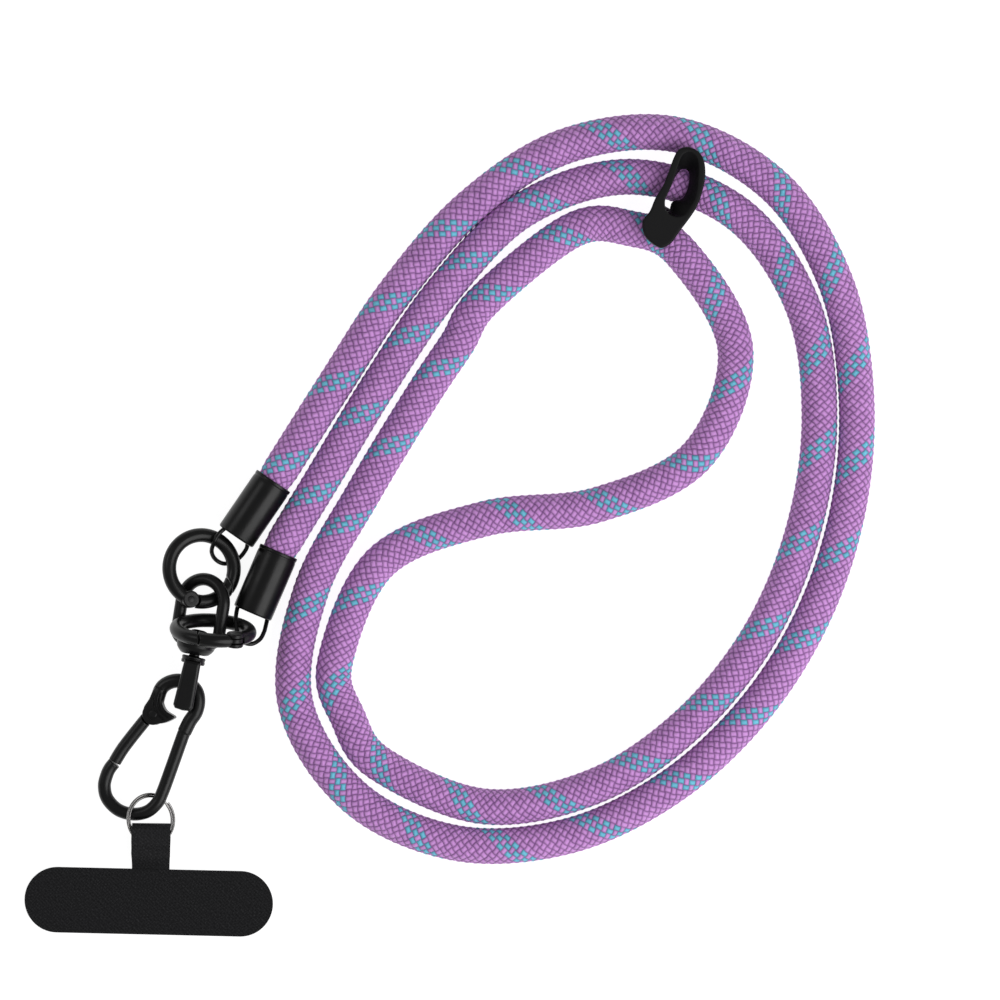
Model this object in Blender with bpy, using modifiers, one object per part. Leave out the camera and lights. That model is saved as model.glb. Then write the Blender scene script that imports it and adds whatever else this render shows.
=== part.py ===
"""A phone crossbody strap laid flat: braided rope, two end caps, two spring
rings, a swivel, a carabiner and a thin fabric tab that goes under a phone case.

Metres, +Z up. The origin is the middle of the tab's underside on the floor.
"""

import math

import bmesh
import bpy
from mathutils import Matrix, Vector

MM = 0.001
CLEAR = 0.3 * MM

# Rope
ROPE_DIAMETER = 9.1 * MM
ROPE_END_DIAMETER = 8.4 * MM
ROPE_SEAT = 9.0 * MM
ROPE_NECK = 2.5 * MM
ROPE_POINT_SPACING = 17.9 * MM

# End caps and their wire bails
CAP_DIAMETER = 10.1 * MM
CAP_LENGTH = 16.2 * MM
CAP_BORE_DIAMETER = 9.1 * MM
CAP_BORE_DEPTH = ROPE_SEAT + 2 * CLEAR
CAP_EDGE = 0.35 * MM
BAIL_WIRE = 1.1 * MM
BAIL_SEAT = 1.6 * MM
BAIL_LEAD = 0.5 * MM
BAIL_INSET = 0.45 * MM
BAIL_POINT_SPACING = 1.1 * MM
UPPER_BAIL_RISE = 2.2 * MM
LOWER_BAIL_RISE = 0.6 * MM

# Spring rings
RING_WIRE = 3.4 * MM
UPPER_RING_RADIUS = 8.35 * MM
LOWER_RING_RADIUS = 9.1 * MM
LOWER_RING_LEAN = math.radians(15)
CROSSING_ROOM = 1.22
UPPER_RING_SAG = 0.45 * MM
UPPER_RING_PITCH = -0.05
LOWER_RING_REST = 0.5 * MM
UPPER_RING_KNUCKLE, UPPER_RING_SEAM = 247.6, 330.4
LOWER_RING_KNUCKLE, LOWER_RING_SEAM = 50.8, 112.6
KNUCKLE_RADIUS = 2.15 * MM
TONGUE = 1.1 * MM
TONGUE_INSET = 0.1 * MM
HINGE_PIN = 1.3 * MM
NOSE_ANGLE = 18

# Swivel
BOW_WIRE = 3.2 * MM
BOW_LEG_SPACING = 12.1 * MM
BOW_HEIGHT = 20.6 * MM
BOW_BAR_HEIGHT = 3.3 * MM
BOW_CORNER = 2.6 * MM
BOW_ROLL = math.radians(28)
BELL_RADIUS = 4.9 * MM
BELL_HEIGHT = 4.9 * MM
SWIVEL_PIN = 2.6 * MM
SWIVEL_HEAD = 4.6 * MM
SWIVEL_HEAD_HEIGHT = 0.9 * MM
SWIVEL_PLAY = 0.5 * MM
SWIVEL_AXIS_HEIGHT = 6.4 * MM
FLANGE_DIAMETER = 6.0 * MM
FLANGE_HEIGHT = 1.9 * MM
EYE_WIDTH = 3.0 * MM
EYE_LENGTH = 11.6 * MM
EYE_DEPTH = 8.4 * MM
EYE_BAR = 1.7 * MM
EYE_FOOT = 1.9 * MM
EYE_CORNER = 1.6 * MM
EYE_WINDOW_CORNER = 1.1 * MM

# Carabiner
CARABINER_WIRE = 3.3 * MM
CARABINER_LENGTH = 35.4 * MM
CARABINER_LIFT = 3.5 * MM
CARABINER_SLOPE = 0.2
LUG_RADIUS = 2.75 * MM
CARABINER_POINT_SPACING = 1.9 * MM

# Split ring
SPLIT_RADIUS = 5.75 * MM
SPLIT_WIRE = 1.1 * MM
SPLIT_SLOPE = -0.5
SPLIT_PITCH = -0.1
SPLIT_HEIGHT = 3.55 * MM

# Tab
TAB_WIDTH = 62.2 * MM
TAB_HEIGHT = 16.4 * MM
TAB_THICKNESS = 0.9 * MM
TAB_TURN = math.radians(-1.3)
STEM_WIDTH = 9.4 * MM
STEM_LENGTH = 11.6 * MM
STEM_OFFSET = 0.3 * MM
POCKET_LENGTH = 7.6 * MM
POCKET_LAYER = 0.6 * MM
POCKET_PLAY = 0.5 * MM
POCKET_ROLL = math.radians(24)
POCKET_ROOT = 1.0 * MM

# Rope keeper
KEEPER_LENGTH = 24.0 * MM
KEEPER_THICKNESS = 4.4 * MM
KEEPER_WALL = 1.3 * MM
KEEPER_CLIP_LENGTH = 6.0 * MM
KEEPER_POINT_SPACING = 1.3 * MM

# Where the phone end lies on the floor, measured from the tab's middle
CARABINER_FOOT = Vector((-3.8, 22.05, 0)) * MM
CARABINER_UP = Vector((0.33, 0.944, 0)).normalized()
SPLIT_MIDDLE = Vector((0.6, 20.85, 0)) * MM

# The rest was measured with the carabiner's top here, and moves with that top
CARABINER_TOP_SEEN = Vector((7.882, 55.467, 0)) * MM
STRAP_SHIFT = CARABINER_FOOT + CARABINER_UP * CARABINER_LENGTH - CARABINER_TOP_SEEN
UPPER_CAP_MOUTH = Vector((31.4, 105.4, 0)) * MM + STRAP_SHIFT
UPPER_CAP_TOWARDS = Vector((22.2, 91.9, 0)) * MM + STRAP_SHIFT
LOWER_CAP_MOUTH = Vector((32.7, 87.8, 0)) * MM + STRAP_SHIFT
LOWER_CAP_TOWARDS = Vector((26.3, 72.9, 0)) * MM + STRAP_SHIFT
UPPER_RING_MIDDLE = Vector((13.4, 83.5, 0)) * MM + STRAP_SHIFT
LOWER_RING_MIDDLE = Vector((16.45, 68.1, 0)) * MM + STRAP_SHIFT
SWIVEL_FOOT = Vector((11.65, 62.0, 0)) * MM + STRAP_SHIFT
KEEPER_MIDDLE = Vector((128.2, 167.6, 0)) * MM + STRAP_SHIFT

BOW_UP = Vector((0.155, 0.988, 0)).normalized()
EYE_DOWN = Vector((-0.21, -0.978, 0)).normalized()
LOWER_RING_ACROSS = Vector((0.998, -0.07, 0)).normalized()
KEEPER_STRAND = Vector((0.87, -0.49, 0)).normalized()

# The rope's route between its caps, in millimetres, from the upper cap to the lower cap
ROPE_ROUTE_MM = [
    (46.6, 129.4), (61.9, 153.3), (79.9, 175.1), (104.1, 190.0), (132.1, 191.9), (156.8, 178.7),
    (172.1, 154.9), (177.4, 127.2), (175.4, 98.9), (166.7, 71.8), (151.7, 47.8),
    (130.9, 28.5), (105.4, 16.3), (77.2, 14.5), (51.5, 26.0), (37.0, 49.8),
    (40.2, 77.7), (53.8, 102.4), (83.9, 150.5), (106.3, 167.1), (133.0, 162.1),
    (146.5, 138.3), (137.1, 112.2), (112.2, 99.7), (84.1, 95.7), (58.4, 84.9),
    (47.0, 60.0), (58.5, 35.0), (84.0, 24.3), (111.6, 29.4), (134.9, 45.0),
    (152.5, 67.2), (163.4, 93.2), (167.3, 121.3), (163.0, 149.0), (147.0, 172.0),
    (120.9, 181.5), (94.2, 173.4), (74.3, 153.6), (43.9, 106.0),
]

# Where each bail bends outside its cap: x, y and height in millimetres
UPPER_BAIL_MM = [
    (17.7, 92.1, 7.75), (16.7, 90.35, 7.9), (15.9, 87.85, 5.6), (16.7, 85.85, 3.3),
    (18.7, 84.7, 2.0), (20.95, 85.1, 1.25), (22.95, 86.35, 1.5), (24.45, 88.35, 2.3),
]
LOWER_BAIL_MM = [
    (22.1, 72.3, 7.2), (22.0, 70.3, 9.0), (22.4, 67.8, 10.6), (23.7, 65.4, 11.3),
    (25.9, 64.7, 11.0), (28.0, 65.8, 9.6), (29.0, 67.6, 7.6), (29.4, 69.1, 5.9),
]

# Carabiner centreline: across and along, as shares of its length
CARABINER_OUTLINE = [
    (-0.099, 0.775), (-0.106, 0.892), (-0.073, 0.956), (-0.008, 0.997), (0.069, 1.001),
    (0.136, 0.969), (0.173, 0.907), (0.182, 0.828), (0.163, 0.754), (0.152, 0.668),
    (0.150, 0.598), (0.149, 0.409), (0.146, 0.217), (0.134, 0.130), (0.087, 0.050),
    (0.000, 0.000), (-0.110, -0.007), (-0.209, 0.041), (-0.259, 0.120),
    (-0.268, 0.200), (-0.262, 0.252), (-0.246, 0.297),
]
CARABINER_PIVOT = (-0.0935, 0.717)
SPUR_OUTLINE = [
    (-0.141, 0.895), (-0.075, 0.888), (-0.064, 0.825), (-0.020, 0.773), (0.055, 0.752),
    (0.046, 0.725), (0.002, 0.685), (-0.040, 0.670), (-0.093, 0.717), (-0.168, 0.730),
    (-0.155, 0.808),
]

# Keeper outline and window: across and along, as shares of its length
KEEPER_OUTLINE = [
    (0.010, -0.167), (-0.115, -0.115), (-0.187, 0.010), (-0.167, 0.167), (-0.094, 0.302),
    (-0.021, 0.458), (0.052, 0.615), (0.125, 0.771), (0.208, 0.833), (0.292, 0.844),
    (0.385, 0.781), (0.437, 0.667), (0.437, 0.521), (0.396, 0.354), (0.344, 0.208),
    (0.240, 0.042), (0.146, -0.104),
]
KEEPER_WINDOW = [
    (0.052, 0.198), (0.021, 0.281), (0.073, 0.417), (0.146, 0.583), (0.219, 0.719),
    (0.292, 0.750), (0.354, 0.667), (0.354, 0.521), (0.302, 0.333), (0.240, 0.188),
    (0.156, 0.135),
]

UP = Vector((0, 0, 1))


def clear_scene():
    for old in list(bpy.data.objects):
        bpy.data.objects.remove(old, do_unlink=True)


def collection(name):
    made = bpy.data.collections.new(name)
    bpy.context.scene.collection.children.link(made)
    return made


def material(name, colour, roughness, metallic):
    made = bpy.data.materials.new(name)
    made.use_nodes = True
    shader = made.node_tree.nodes["Principled BSDF"]
    shader.inputs["Base Color"].default_value = (*colour, 1)
    shader.inputs["Roughness"].default_value = roughness
    shader.inputs["Metallic"].default_value = metallic
    made.diffuse_color = (*colour, 1)
    return made


def frame_matrix(origin, x_axis, z_axis):
    """A placement whose local X and Z run along the two given directions."""
    z = Vector(z_axis).normalized()
    y = z.cross(Vector(x_axis)).normalized()
    x = y.cross(z)
    turn = Matrix((x, y, z)).transposed().to_4x4()
    return Matrix.Translation(origin) @ turn


def smooth_path(points, spacing, closed=False):
    """Points about `spacing` apart on a Catmull-Rom curve through the given points."""
    count = len(points)
    spans = count if closed else count - 1
    dense = []
    for i in range(spans):
        if closed:
            four = [points[(i + k - 1) % count] for k in range(4)]
        else:
            four = [points[min(max(i + k - 1, 0), count - 1)] for k in range(4)]
        a, b, c, d = four
        for step in range(24):
            t = step / 24
            dense.append(0.5 * (2 * b + (c - a) * t + (2 * a - 5 * b + 4 * c - d) * t * t
                                + (3 * b - a - 3 * c + d) * t ** 3))
    dense.append(points[0].copy() if closed else points[-1].copy())
    reach = [0.0]
    for p, q in zip(dense, dense[1:]):
        reach.append(reach[-1] + (q - p).length)
    pieces = max(4, round(reach[-1] / spacing))
    path = []
    at = 0
    for k in range(pieces if closed else pieces + 1):
        want = reach[-1] * k / pieces
        while at < len(dense) - 2 and reach[at + 1] < want:
            at += 1
        share = (want - reach[at]) / max(reach[at + 1] - reach[at], 1e-9)
        path.append(dense[at].lerp(dense[at + 1], min(share, 1)))
    return path


def arc_points(middle, across, along, radius, start, end, steps):
    """Points on a circle; angles run from `across` towards `along`."""
    return [middle + radius * (math.cos(a) * across + math.sin(a) * along)
            for a in (start + (end - start) * k / steps for k in range(steps + 1))]


def tube_curve(name, points, radius, group, resolution=2, closed=False, radii=None):
    curve = bpy.data.curves.new(name, "CURVE")
    curve.dimensions = "3D"
    curve.bevel_depth = radius
    curve.bevel_resolution = resolution
    curve.use_fill_caps = True
    spline = curve.splines.new("POLY")
    spline.points.add(len(points) - 1)
    for k, p in enumerate(points):
        spline.points[k].co = (*p, 1)
        spline.points[k].radius = radii[k] / radius if radii else 1
    spline.use_cyclic_u = closed
    made = bpy.data.objects.new(name, curve)
    group.objects.link(made)
    return made


def to_mesh(curve_object, group):
    """The same shape as one closed mesh, so that it can be cut and joined."""
    bpy.context.view_layer.update()
    seen = curve_object.evaluated_get(bpy.context.evaluated_depsgraph_get())
    mesh = bpy.data.meshes.new_from_object(seen)
    name = curve_object.name
    place = curve_object.matrix_world.copy()
    bpy.data.objects.remove(curve_object, do_unlink=True)
    work = bmesh.new()
    work.from_mesh(mesh)
    bmesh.ops.remove_doubles(work, verts=work.verts, dist=0.002 * MM)
    bmesh.ops.recalc_face_normals(work, faces=work.faces)
    work.to_mesh(mesh)
    work.free()
    made = bpy.data.objects.new(name, mesh)
    made.matrix_world = place
    group.objects.link(made)
    return made


def tube_mesh(name, points, radius, group, resolution=2, closed=False):
    return to_mesh(tube_curve(name, points, radius, group, resolution, closed), group)


def plate(name, outlines, thickness, place, group):
    """A flat outline, with any windows, given its thickness and set in place."""
    curve = bpy.data.curves.new(name, "CURVE")
    curve.dimensions = "2D"
    curve.fill_mode = "BOTH"
    curve.extrude = thickness / 2
    for outline in outlines:
        spline = curve.splines.new("POLY")
        spline.points.add(len(outline) - 1)
        for k, p in enumerate(outline):
            spline.points[k].co = (p[0], p[1], 0, 1)
        spline.use_cyclic_u = True
    made = bpy.data.objects.new(name, curve)
    made.matrix_world = place
    group.objects.link(made)
    return to_mesh(made, group)


def cylinder(name, middle, axis, radius, length, group, sides=24):
    mesh = bpy.data.meshes.new(name)
    work = bmesh.new()
    bmesh.ops.create_cone(work, cap_ends=True, segments=sides, radius1=radius,
                          radius2=radius, depth=length)
    work.to_mesh(mesh)
    work.free()
    made = bpy.data.objects.new(name, mesh)
    side = Vector((1, 0, 0)) if abs(axis.normalized().x) < 0.9 else UP
    made.matrix_world = frame_matrix(middle, side, axis)
    group.objects.link(made)
    return made


def turned(name, profile, place, group, steps=28):
    """A profile of (radius, height) rows turned about its local Z axis."""
    mesh = bpy.data.meshes.new(name)
    mesh.from_pydata([(r, 0, h) for r, h in profile],
                     [(k, k + 1) for k in range(len(profile) - 1)], [])
    made = bpy.data.objects.new(name, mesh)
    made.matrix_world = place
    group.objects.link(made)
    screw = made.modifiers.new("turn", "SCREW")
    screw.steps = steps
    screw.render_steps = steps
    screw.use_merge_vertices = True
    screw.merge_threshold = 0.00001
    screw.use_smooth_shade = True
    return made


def boolean(target, tool, operation):
    step = target.modifiers.new(operation.lower(), "BOOLEAN")
    step.object = tool
    step.operation = operation
    step.solver = "EXACT"


def finish(target, look, tools, cutters):
    """Give the piece its material and move its tools to the cutters."""
    target.data.materials.clear()
    target.data.materials.append(look)
    for tool in tools:
        for holder in list(tool.users_collection):
            holder.objects.unlink(tool)
        cutters.objects.link(tool)
        tool.hide_render = True
        tool.display_type = "WIRE"
    if target.type == "MESH":
        target.data.shade_smooth()
    return target


def floor_point(mm_row, height=0.0):
    """A measured place of the strap, moved with the carabiner's top."""
    return Vector((mm_row[0] * MM, mm_row[1] * MM, height)) + STRAP_SHIFT


def cap_frame(mouth, towards):
    axis = (towards - mouth).normalized()
    return mouth + UP * CAP_DIAMETER / 2, axis


def rope_points():
    lay = ROPE_DIAMETER / 2
    route = [floor_point(row, lay) for row in ROPE_ROUTE_MM]
    starts = []
    for mouth, towards in ((UPPER_CAP_MOUTH, UPPER_CAP_TOWARDS),
                           (LOWER_CAP_MOUTH, LOWER_CAP_TOWARDS)):
        at, axis = cap_frame(mouth, towards)
        starts.append((at, at + axis * ROPE_SEAT))
    body = smooth_path([starts[0][0]] + route + [starts[1][0]], ROPE_POINT_SPACING)
    for point in body:
        point.z = max(point.z, lay)
    neck = [mouth - (seat - mouth).normalized() * ROPE_NECK for mouth, seat in starts]
    points = [starts[0][1], body[0], neck[0]] + body[1:-1] + [neck[1], body[-1], starts[1][1]]
    end = ROPE_END_DIAMETER / 2
    radii = [end, end] + [ROPE_DIAMETER / 2] * (len(points) - 4) + [end, end]
    return points, radii


def build_rope(group, look):
    points, radii = rope_points()
    rope = tube_curve("rope", points, ROPE_DIAMETER / 2, group, 4, radii=radii)
    rope.data.materials.append(look)


def bail_legs(mouth, towards, height_step):
    """The two places where a bail's legs leave its cap, and the cap's axis."""
    at, axis = cap_frame(mouth, towards)
    across = UP.cross(axis).normalized()
    face = at + axis * CAP_LENGTH
    reach = CAP_DIAMETER / 2 - BAIL_WIRE / 2 - BAIL_INSET
    offset = math.sqrt(reach ** 2 - height_step ** 2)
    left = face - across * offset + UP * height_step
    right = face + across * offset - UP * height_step
    return left, right, axis


def build_cap(side, mouth, towards, height_step, route_mm, group, cutters, black):
    at, axis = cap_frame(mouth, towards)
    outer = CAP_DIAMETER / 2
    bore = CAP_BORE_DIAMETER / 2
    profile = [(0, -CAP_BORE_DEPTH), (bore, -CAP_BORE_DEPTH), (bore, 0),
               (outer - CAP_EDGE, 0), (outer, -CAP_EDGE), (outer, -CAP_LENGTH + CAP_EDGE),
               (outer - CAP_EDGE, -CAP_LENGTH), (0, -CAP_LENGTH)]
    cap = turned("end_cap_" + side, profile, frame_matrix(at, UP, -axis), group)
    left, right, axis = bail_legs(mouth, towards, height_step)
    sockets = []
    for leg in (left, right):
        depth = BAIL_SEAT + CLEAR
        socket = cylinder("bail_socket_" + side, leg - axis * (depth - BAIL_SEAT) / 2, axis,
                          BAIL_WIRE / 2 + CLEAR, depth + BAIL_SEAT, group, 16)
        boolean(cap, socket, "DIFFERENCE")
        sockets.append(socket)
    finish(cap, black, sockets, cutters)
    middle = [floor_point(row, row[2] * MM) for row in route_mm]
    route = [left, left + axis * BAIL_LEAD] + middle + [right + axis * BAIL_LEAD, right]
    path = smooth_path(route, BAIL_POINT_SPACING)
    path = [left - axis * BAIL_SEAT] + path + [right - axis * BAIL_SEAT]
    bail = tube_curve("bail_" + side, path, BAIL_WIRE / 2, group, 2)
    bail.data.materials.append(black)


def bow_axes():
    across = Vector((BOW_UP.y, -BOW_UP.x, 0))
    rolled = across * math.cos(BOW_ROLL) + UP * math.sin(BOW_ROLL)
    return SWIVEL_FOOT + UP * SWIVEL_AXIS_HEIGHT, rolled, BOW_UP


def build_bow(group, cutters, black):
    foot, across, up = bow_axes()
    half = BOW_LEG_SPACING / 2
    top = BOW_HEIGHT - BOW_WIRE / 2 - half
    low = BOW_BAR_HEIGHT + BOW_CORNER
    inner = half - BOW_CORNER
    quarter = math.pi / 2
    path = arc_points(foot + up * top, across, up, half, 0, math.pi, 20)
    path += arc_points(foot + up * low - across * inner, across, up, BOW_CORNER,
                       math.pi, math.pi + quarter, 4)
    path += arc_points(foot + up * low + across * inner, across, up, BOW_CORNER,
                       math.pi + quarter, 2 * math.pi, 4)
    bow = tube_mesh("swivel_bow", path, BOW_WIRE / 2, group, 2, closed=True)
    profile = [(0, BELL_HEIGHT), (BELL_RADIUS * 0.7, BELL_HEIGHT), (BELL_RADIUS, BELL_HEIGHT * 0.8),
               (BELL_RADIUS, BELL_HEIGHT * 0.45), (BELL_RADIUS * 0.84, BELL_HEIGHT * 0.2),
               (BELL_RADIUS * 0.6, 0), (0, 0)]
    bell = turned("bell", profile, frame_matrix(foot, across, up), group)
    bore = cylinder("swivel_bore", foot - EYE_DOWN * BELL_HEIGHT / 2, EYE_DOWN,
                    SWIVEL_PIN / 2 + SWIVEL_PLAY, BELL_HEIGHT * 2, group, 20)
    boolean(bow, bell, "UNION")
    boolean(bow, bore, "DIFFERENCE")
    finish(bow, black, [bell, bore], cutters)


def eye_matrix():
    """Local X runs down the swivel axis, local Y is up, local Z goes across."""
    foot = SWIVEL_FOOT + UP * SWIVEL_AXIS_HEIGHT
    return frame_matrix(foot, EYE_DOWN, EYE_DOWN.cross(UP))


def round_box(x0, x1, half, corner, steps=5):
    """A rectangle outline from x0 to x1 with rounded corners, symmetric about X."""
    rows = []
    for cx, cy, start in ((x1 - corner, half - corner, 0), (x0 + corner, half - corner, 90),
                          (x0 + corner, corner - half, 180), (x1 - corner, corner - half, 270)):
        for k in range(steps + 1):
            a = math.radians(start + 90 * k / steps)
            rows.append((cx + corner * math.cos(a), cy + corner * math.sin(a)))
    return rows


def build_eye(group, cutters, black):
    foot = SWIVEL_FOOT + UP * SWIVEL_AXIS_HEIGHT
    start = SWIVEL_PLAY + FLANGE_HEIGHT * 0.8
    end = start + EYE_LENGTH
    outer = round_box(start, end, EYE_DEPTH / 2, EYE_CORNER)
    inner = round_box(start + EYE_FOOT, end - EYE_BAR, EYE_DEPTH / 2 - EYE_BAR, EYE_WINDOW_CORNER)
    eye = plate("swivel_eye", [outer, inner], EYE_WIDTH, eye_matrix(), group)
    head = BELL_HEIGHT + SWIVEL_PLAY
    flange = FLANGE_DIAMETER / 2
    pin = SWIVEL_PIN / 2
    profile = [(0, head + SWIVEL_HEAD_HEIGHT), (SWIVEL_HEAD * 0.35, head + SWIVEL_HEAD_HEIGHT),
               (SWIVEL_HEAD / 2, head + SWIVEL_HEAD_HEIGHT * 0.4), (SWIVEL_HEAD / 2, head),
               (pin, head), (pin, -SWIVEL_PLAY), (flange, -SWIVEL_PLAY),
               (flange, -SWIVEL_PLAY - FLANGE_HEIGHT), (0, -SWIVEL_PLAY - FLANGE_HEIGHT)]
    shank = turned("swivel_shank", profile, frame_matrix(foot, UP, -EYE_DOWN), group, 24)
    boolean(eye, shank, "UNION")
    finish(eye, black, [shank], cutters)


def upper_ring_axes():
    """The upper ring lies over the bow's left leg and under its right leg."""
    foot, across, up = bow_axes()
    level = BOW_HEIGHT - BOW_WIRE / 2 - BOW_LEG_SPACING / 2
    apart = (BOW_WIRE / 2 + RING_WIRE / 2 + CLEAR) * CROSSING_ROOM
    over = foot + up * level - across * BOW_LEG_SPACING / 2 + UP * apart
    under = foot + up * level + across * BOW_LEG_SPACING / 2 - UP * apart
    slope = (under.z - over.z) / (under.x - over.x)
    height = over.z + slope * (UPPER_RING_MIDDLE.x - over.x) - UPPER_RING_SAG
    right = Vector((1, 0, slope)).normalized()
    away = Vector((0, 1, UPPER_RING_PITCH))
    away = (away - right * away.dot(right)).normalized()
    return UPPER_RING_MIDDLE + UP * height, right, away


def lower_ring_axes():
    """The lower ring stands on the bow's left leg and holds its right leg."""
    foot, across, up = bow_axes()
    leg = foot - across * BOW_LEG_SPACING / 2
    apart = (BOW_WIRE / 2 + RING_WIRE / 2 + CLEAR) / math.cos(LOWER_RING_LEAN)
    reach = LOWER_RING_RADIUS + apart
    aside = LOWER_RING_MIDDLE.x - (leg + up * (LOWER_RING_MIDDLE.y - foot.y)).x
    rise = math.sqrt(reach ** 2 - aside ** 2) * math.cos(LOWER_RING_LEAN) + LOWER_RING_REST
    lean = UP * math.cos(LOWER_RING_LEAN) + LOWER_RING_ACROSS.cross(UP) * math.sin(LOWER_RING_LEAN)
    return LOWER_RING_MIDDLE + UP * (leg.z + rise), LOWER_RING_ACROSS, lean


def build_ring(side, axes, radius, knuckle, seam, group, cutters, black):
    """A ring with a sprung gate between its knuckle and its seam (angles in degrees).

    The angles run from the first axis towards the second, and the gate runs from
    the knuckle to the seam the short way round.
    """
    middle, across, along = axes
    normal = across.cross(along).normalized()
    hinge_angle = math.radians(knuckle)
    seam_angle = math.radians(seam)
    around = 1 if seam > knuckle else -1
    pivot = middle + radius * (math.cos(hinge_angle) * across + math.sin(hinge_angle) * along)
    wire = RING_WIRE / 2
    nose = math.radians(NOSE_ANGLE) * around
    seam_point = middle + radius * (math.cos(seam_angle) * across + math.sin(seam_angle) * along)
    reach = (seam_point - pivot).length
    body_path = arc_points(middle, across, along, radius, seam_angle + nose * 0.9,
                           hinge_angle + math.tau * around, 30)
    nose_path = arc_points(middle, across, along, radius, seam_angle - nose, seam_angle + nose, 6)
    gate_path = arc_points(middle, across, along, radius, hinge_angle, seam_angle + nose, 14)
    body = tube_mesh("ring_" + side, body_path, wire, group, 3)
    gate = tube_mesh("ring_" + side + "_gate", gate_path, wire, group, 3)
    tip = tube_mesh("nose_ring_" + side, nose_path, wire, group, 3)
    outside = cylinder("nose_cut_" + side, pivot, normal, reach + CLEAR / 2, RING_WIRE * 2, group, 72)
    inside = cylinder("gate_cut_" + side, pivot, normal, reach - CLEAR / 2, RING_WIRE * 2, group, 72)
    boolean(tip, outside, "DIFFERENCE")
    boolean(body, tip, "UNION")
    boolean(gate, inside, "INTERSECT")
    towards = (gate_path[4] - pivot).normalized()
    tools = hinge_parts(body, gate, pivot, normal, towards, RING_WIRE, KNUCKLE_RADIUS,
                        "_ring_" + side, group)
    finish(body, black, [tip, outside] + tools[0], cutters)
    finish(gate, black, [inside] + tools[1], cutters)
    set_origin(gate, pivot)


def hinge_parts(body, gate, pivot, normal, towards, thickness, radius, tag, group):
    """Cheeks and a pin on the body, and a tongue with a hole on the gate."""
    reach = radius * 1.7
    cheeks = cylinder("cheeks" + tag, pivot, normal, radius, thickness, group, 28)
    slot = cylinder("slot" + tag, pivot, normal, radius + CLEAR, TONGUE + 2 * CLEAR, group, 28)
    pin = cylinder("pin" + tag, pivot, normal, HINGE_PIN / 2, thickness * 0.9, group, 16)
    boolean(body, cheeks, "UNION")
    boolean(body, slot, "DIFFERENCE")
    boolean(body, pin, "UNION")
    room = cylinder("room" + tag, pivot, normal, radius + CLEAR, thickness * 1.6, group, 28)
    tongue = cylinder("tongue" + tag, pivot, normal, radius - TONGUE_INSET, TONGUE, group, 28)
    hole = cylinder("hole" + tag, pivot, normal, HINGE_PIN / 2 + CLEAR, thickness * 1.6, group, 16)
    neck = cylinder("neck" + tag, pivot + towards * reach / 2, towards, TONGUE / 2, reach,
                    group, 12)
    boolean(gate, room, "DIFFERENCE")
    boolean(gate, neck, "UNION")
    boolean(gate, tongue, "UNION")
    boolean(gate, hole, "DIFFERENCE")
    return [cheeks, slot, pin], [room, tongue, hole, neck]


def set_origin(piece, point):
    """Put a piece's origin on its joint without moving its shape."""
    shift = piece.matrix_world.inverted() @ point
    piece.data.transform(Matrix.Translation(-shift))
    piece.matrix_world = piece.matrix_world @ Matrix.Translation(shift)


def carabiner_point(row):
    """A point of the outline, on the carabiner's sloping middle plane."""
    across = Vector((CARABINER_UP.y, -CARABINER_UP.x, 0))
    at = CARABINER_FOOT + (across * row[0] + CARABINER_UP * row[1]) * CARABINER_LENGTH
    at.z = CARABINER_LIFT + CARABINER_SLOPE * (at.x - CARABINER_FOOT.x)
    return at


def carabiner_normal():
    return Vector((-CARABINER_SLOPE, 0, 1)).normalized()


def build_carabiner(group, cutters, black):
    normal = carabiner_normal()
    pivot = carabiner_point(CARABINER_PIVOT)
    wire = CARABINER_WIRE / 2
    outline = [carabiner_point(row) for row in CARABINER_OUTLINE]
    frame = tube_mesh("carabiner_frame", smooth_path(outline, CARABINER_POINT_SPACING), wire,
                      group, 3)
    across = Vector((CARABINER_UP.y, -CARABINER_UP.x, 0))
    across = (across - normal * across.dot(normal)).normalized()
    spur_rows = []
    for row in SPUR_OUTLINE:
        away = carabiner_point(row) - pivot
        spur_rows.append((away.dot(across), away.dot(normal.cross(across))))
    spur = plate("spur", [spur_rows], CARABINER_WIRE, frame_matrix(pivot, across, normal), group)
    boolean(frame, spur, "UNION")
    seam = outline[-1]
    towards = (seam - pivot).normalized()
    end = seam - towards * CLEAR
    gate = tube_mesh("carabiner_gate", [pivot, pivot.lerp(end, 0.5), end], wire, group, 3)
    tools = hinge_parts(frame, gate, pivot, normal, towards, CARABINER_WIRE, LUG_RADIUS,
                        "_carabiner", group)
    finish(frame, black, [spur] + tools[0], cutters)
    finish(gate, black, tools[1], cutters)
    set_origin(gate, pivot)


def split_axes():
    across = Vector((1, 0, SPLIT_SLOPE)).normalized()
    along = Vector((0, 1, SPLIT_PITCH))
    along = (along - across * along.dot(across)).normalized()
    return SPLIT_MIDDLE + UP * SPLIT_HEIGHT, across, along


def build_split_ring(group, steel):
    middle, across, along = split_axes()
    path = arc_points(middle, across, along, SPLIT_RADIUS, 0, math.tau, 40)[:-1]
    ring = tube_curve("split_ring", path, SPLIT_WIRE / 2, group, 2, closed=True)
    ring.data.materials.append(steel)


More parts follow.
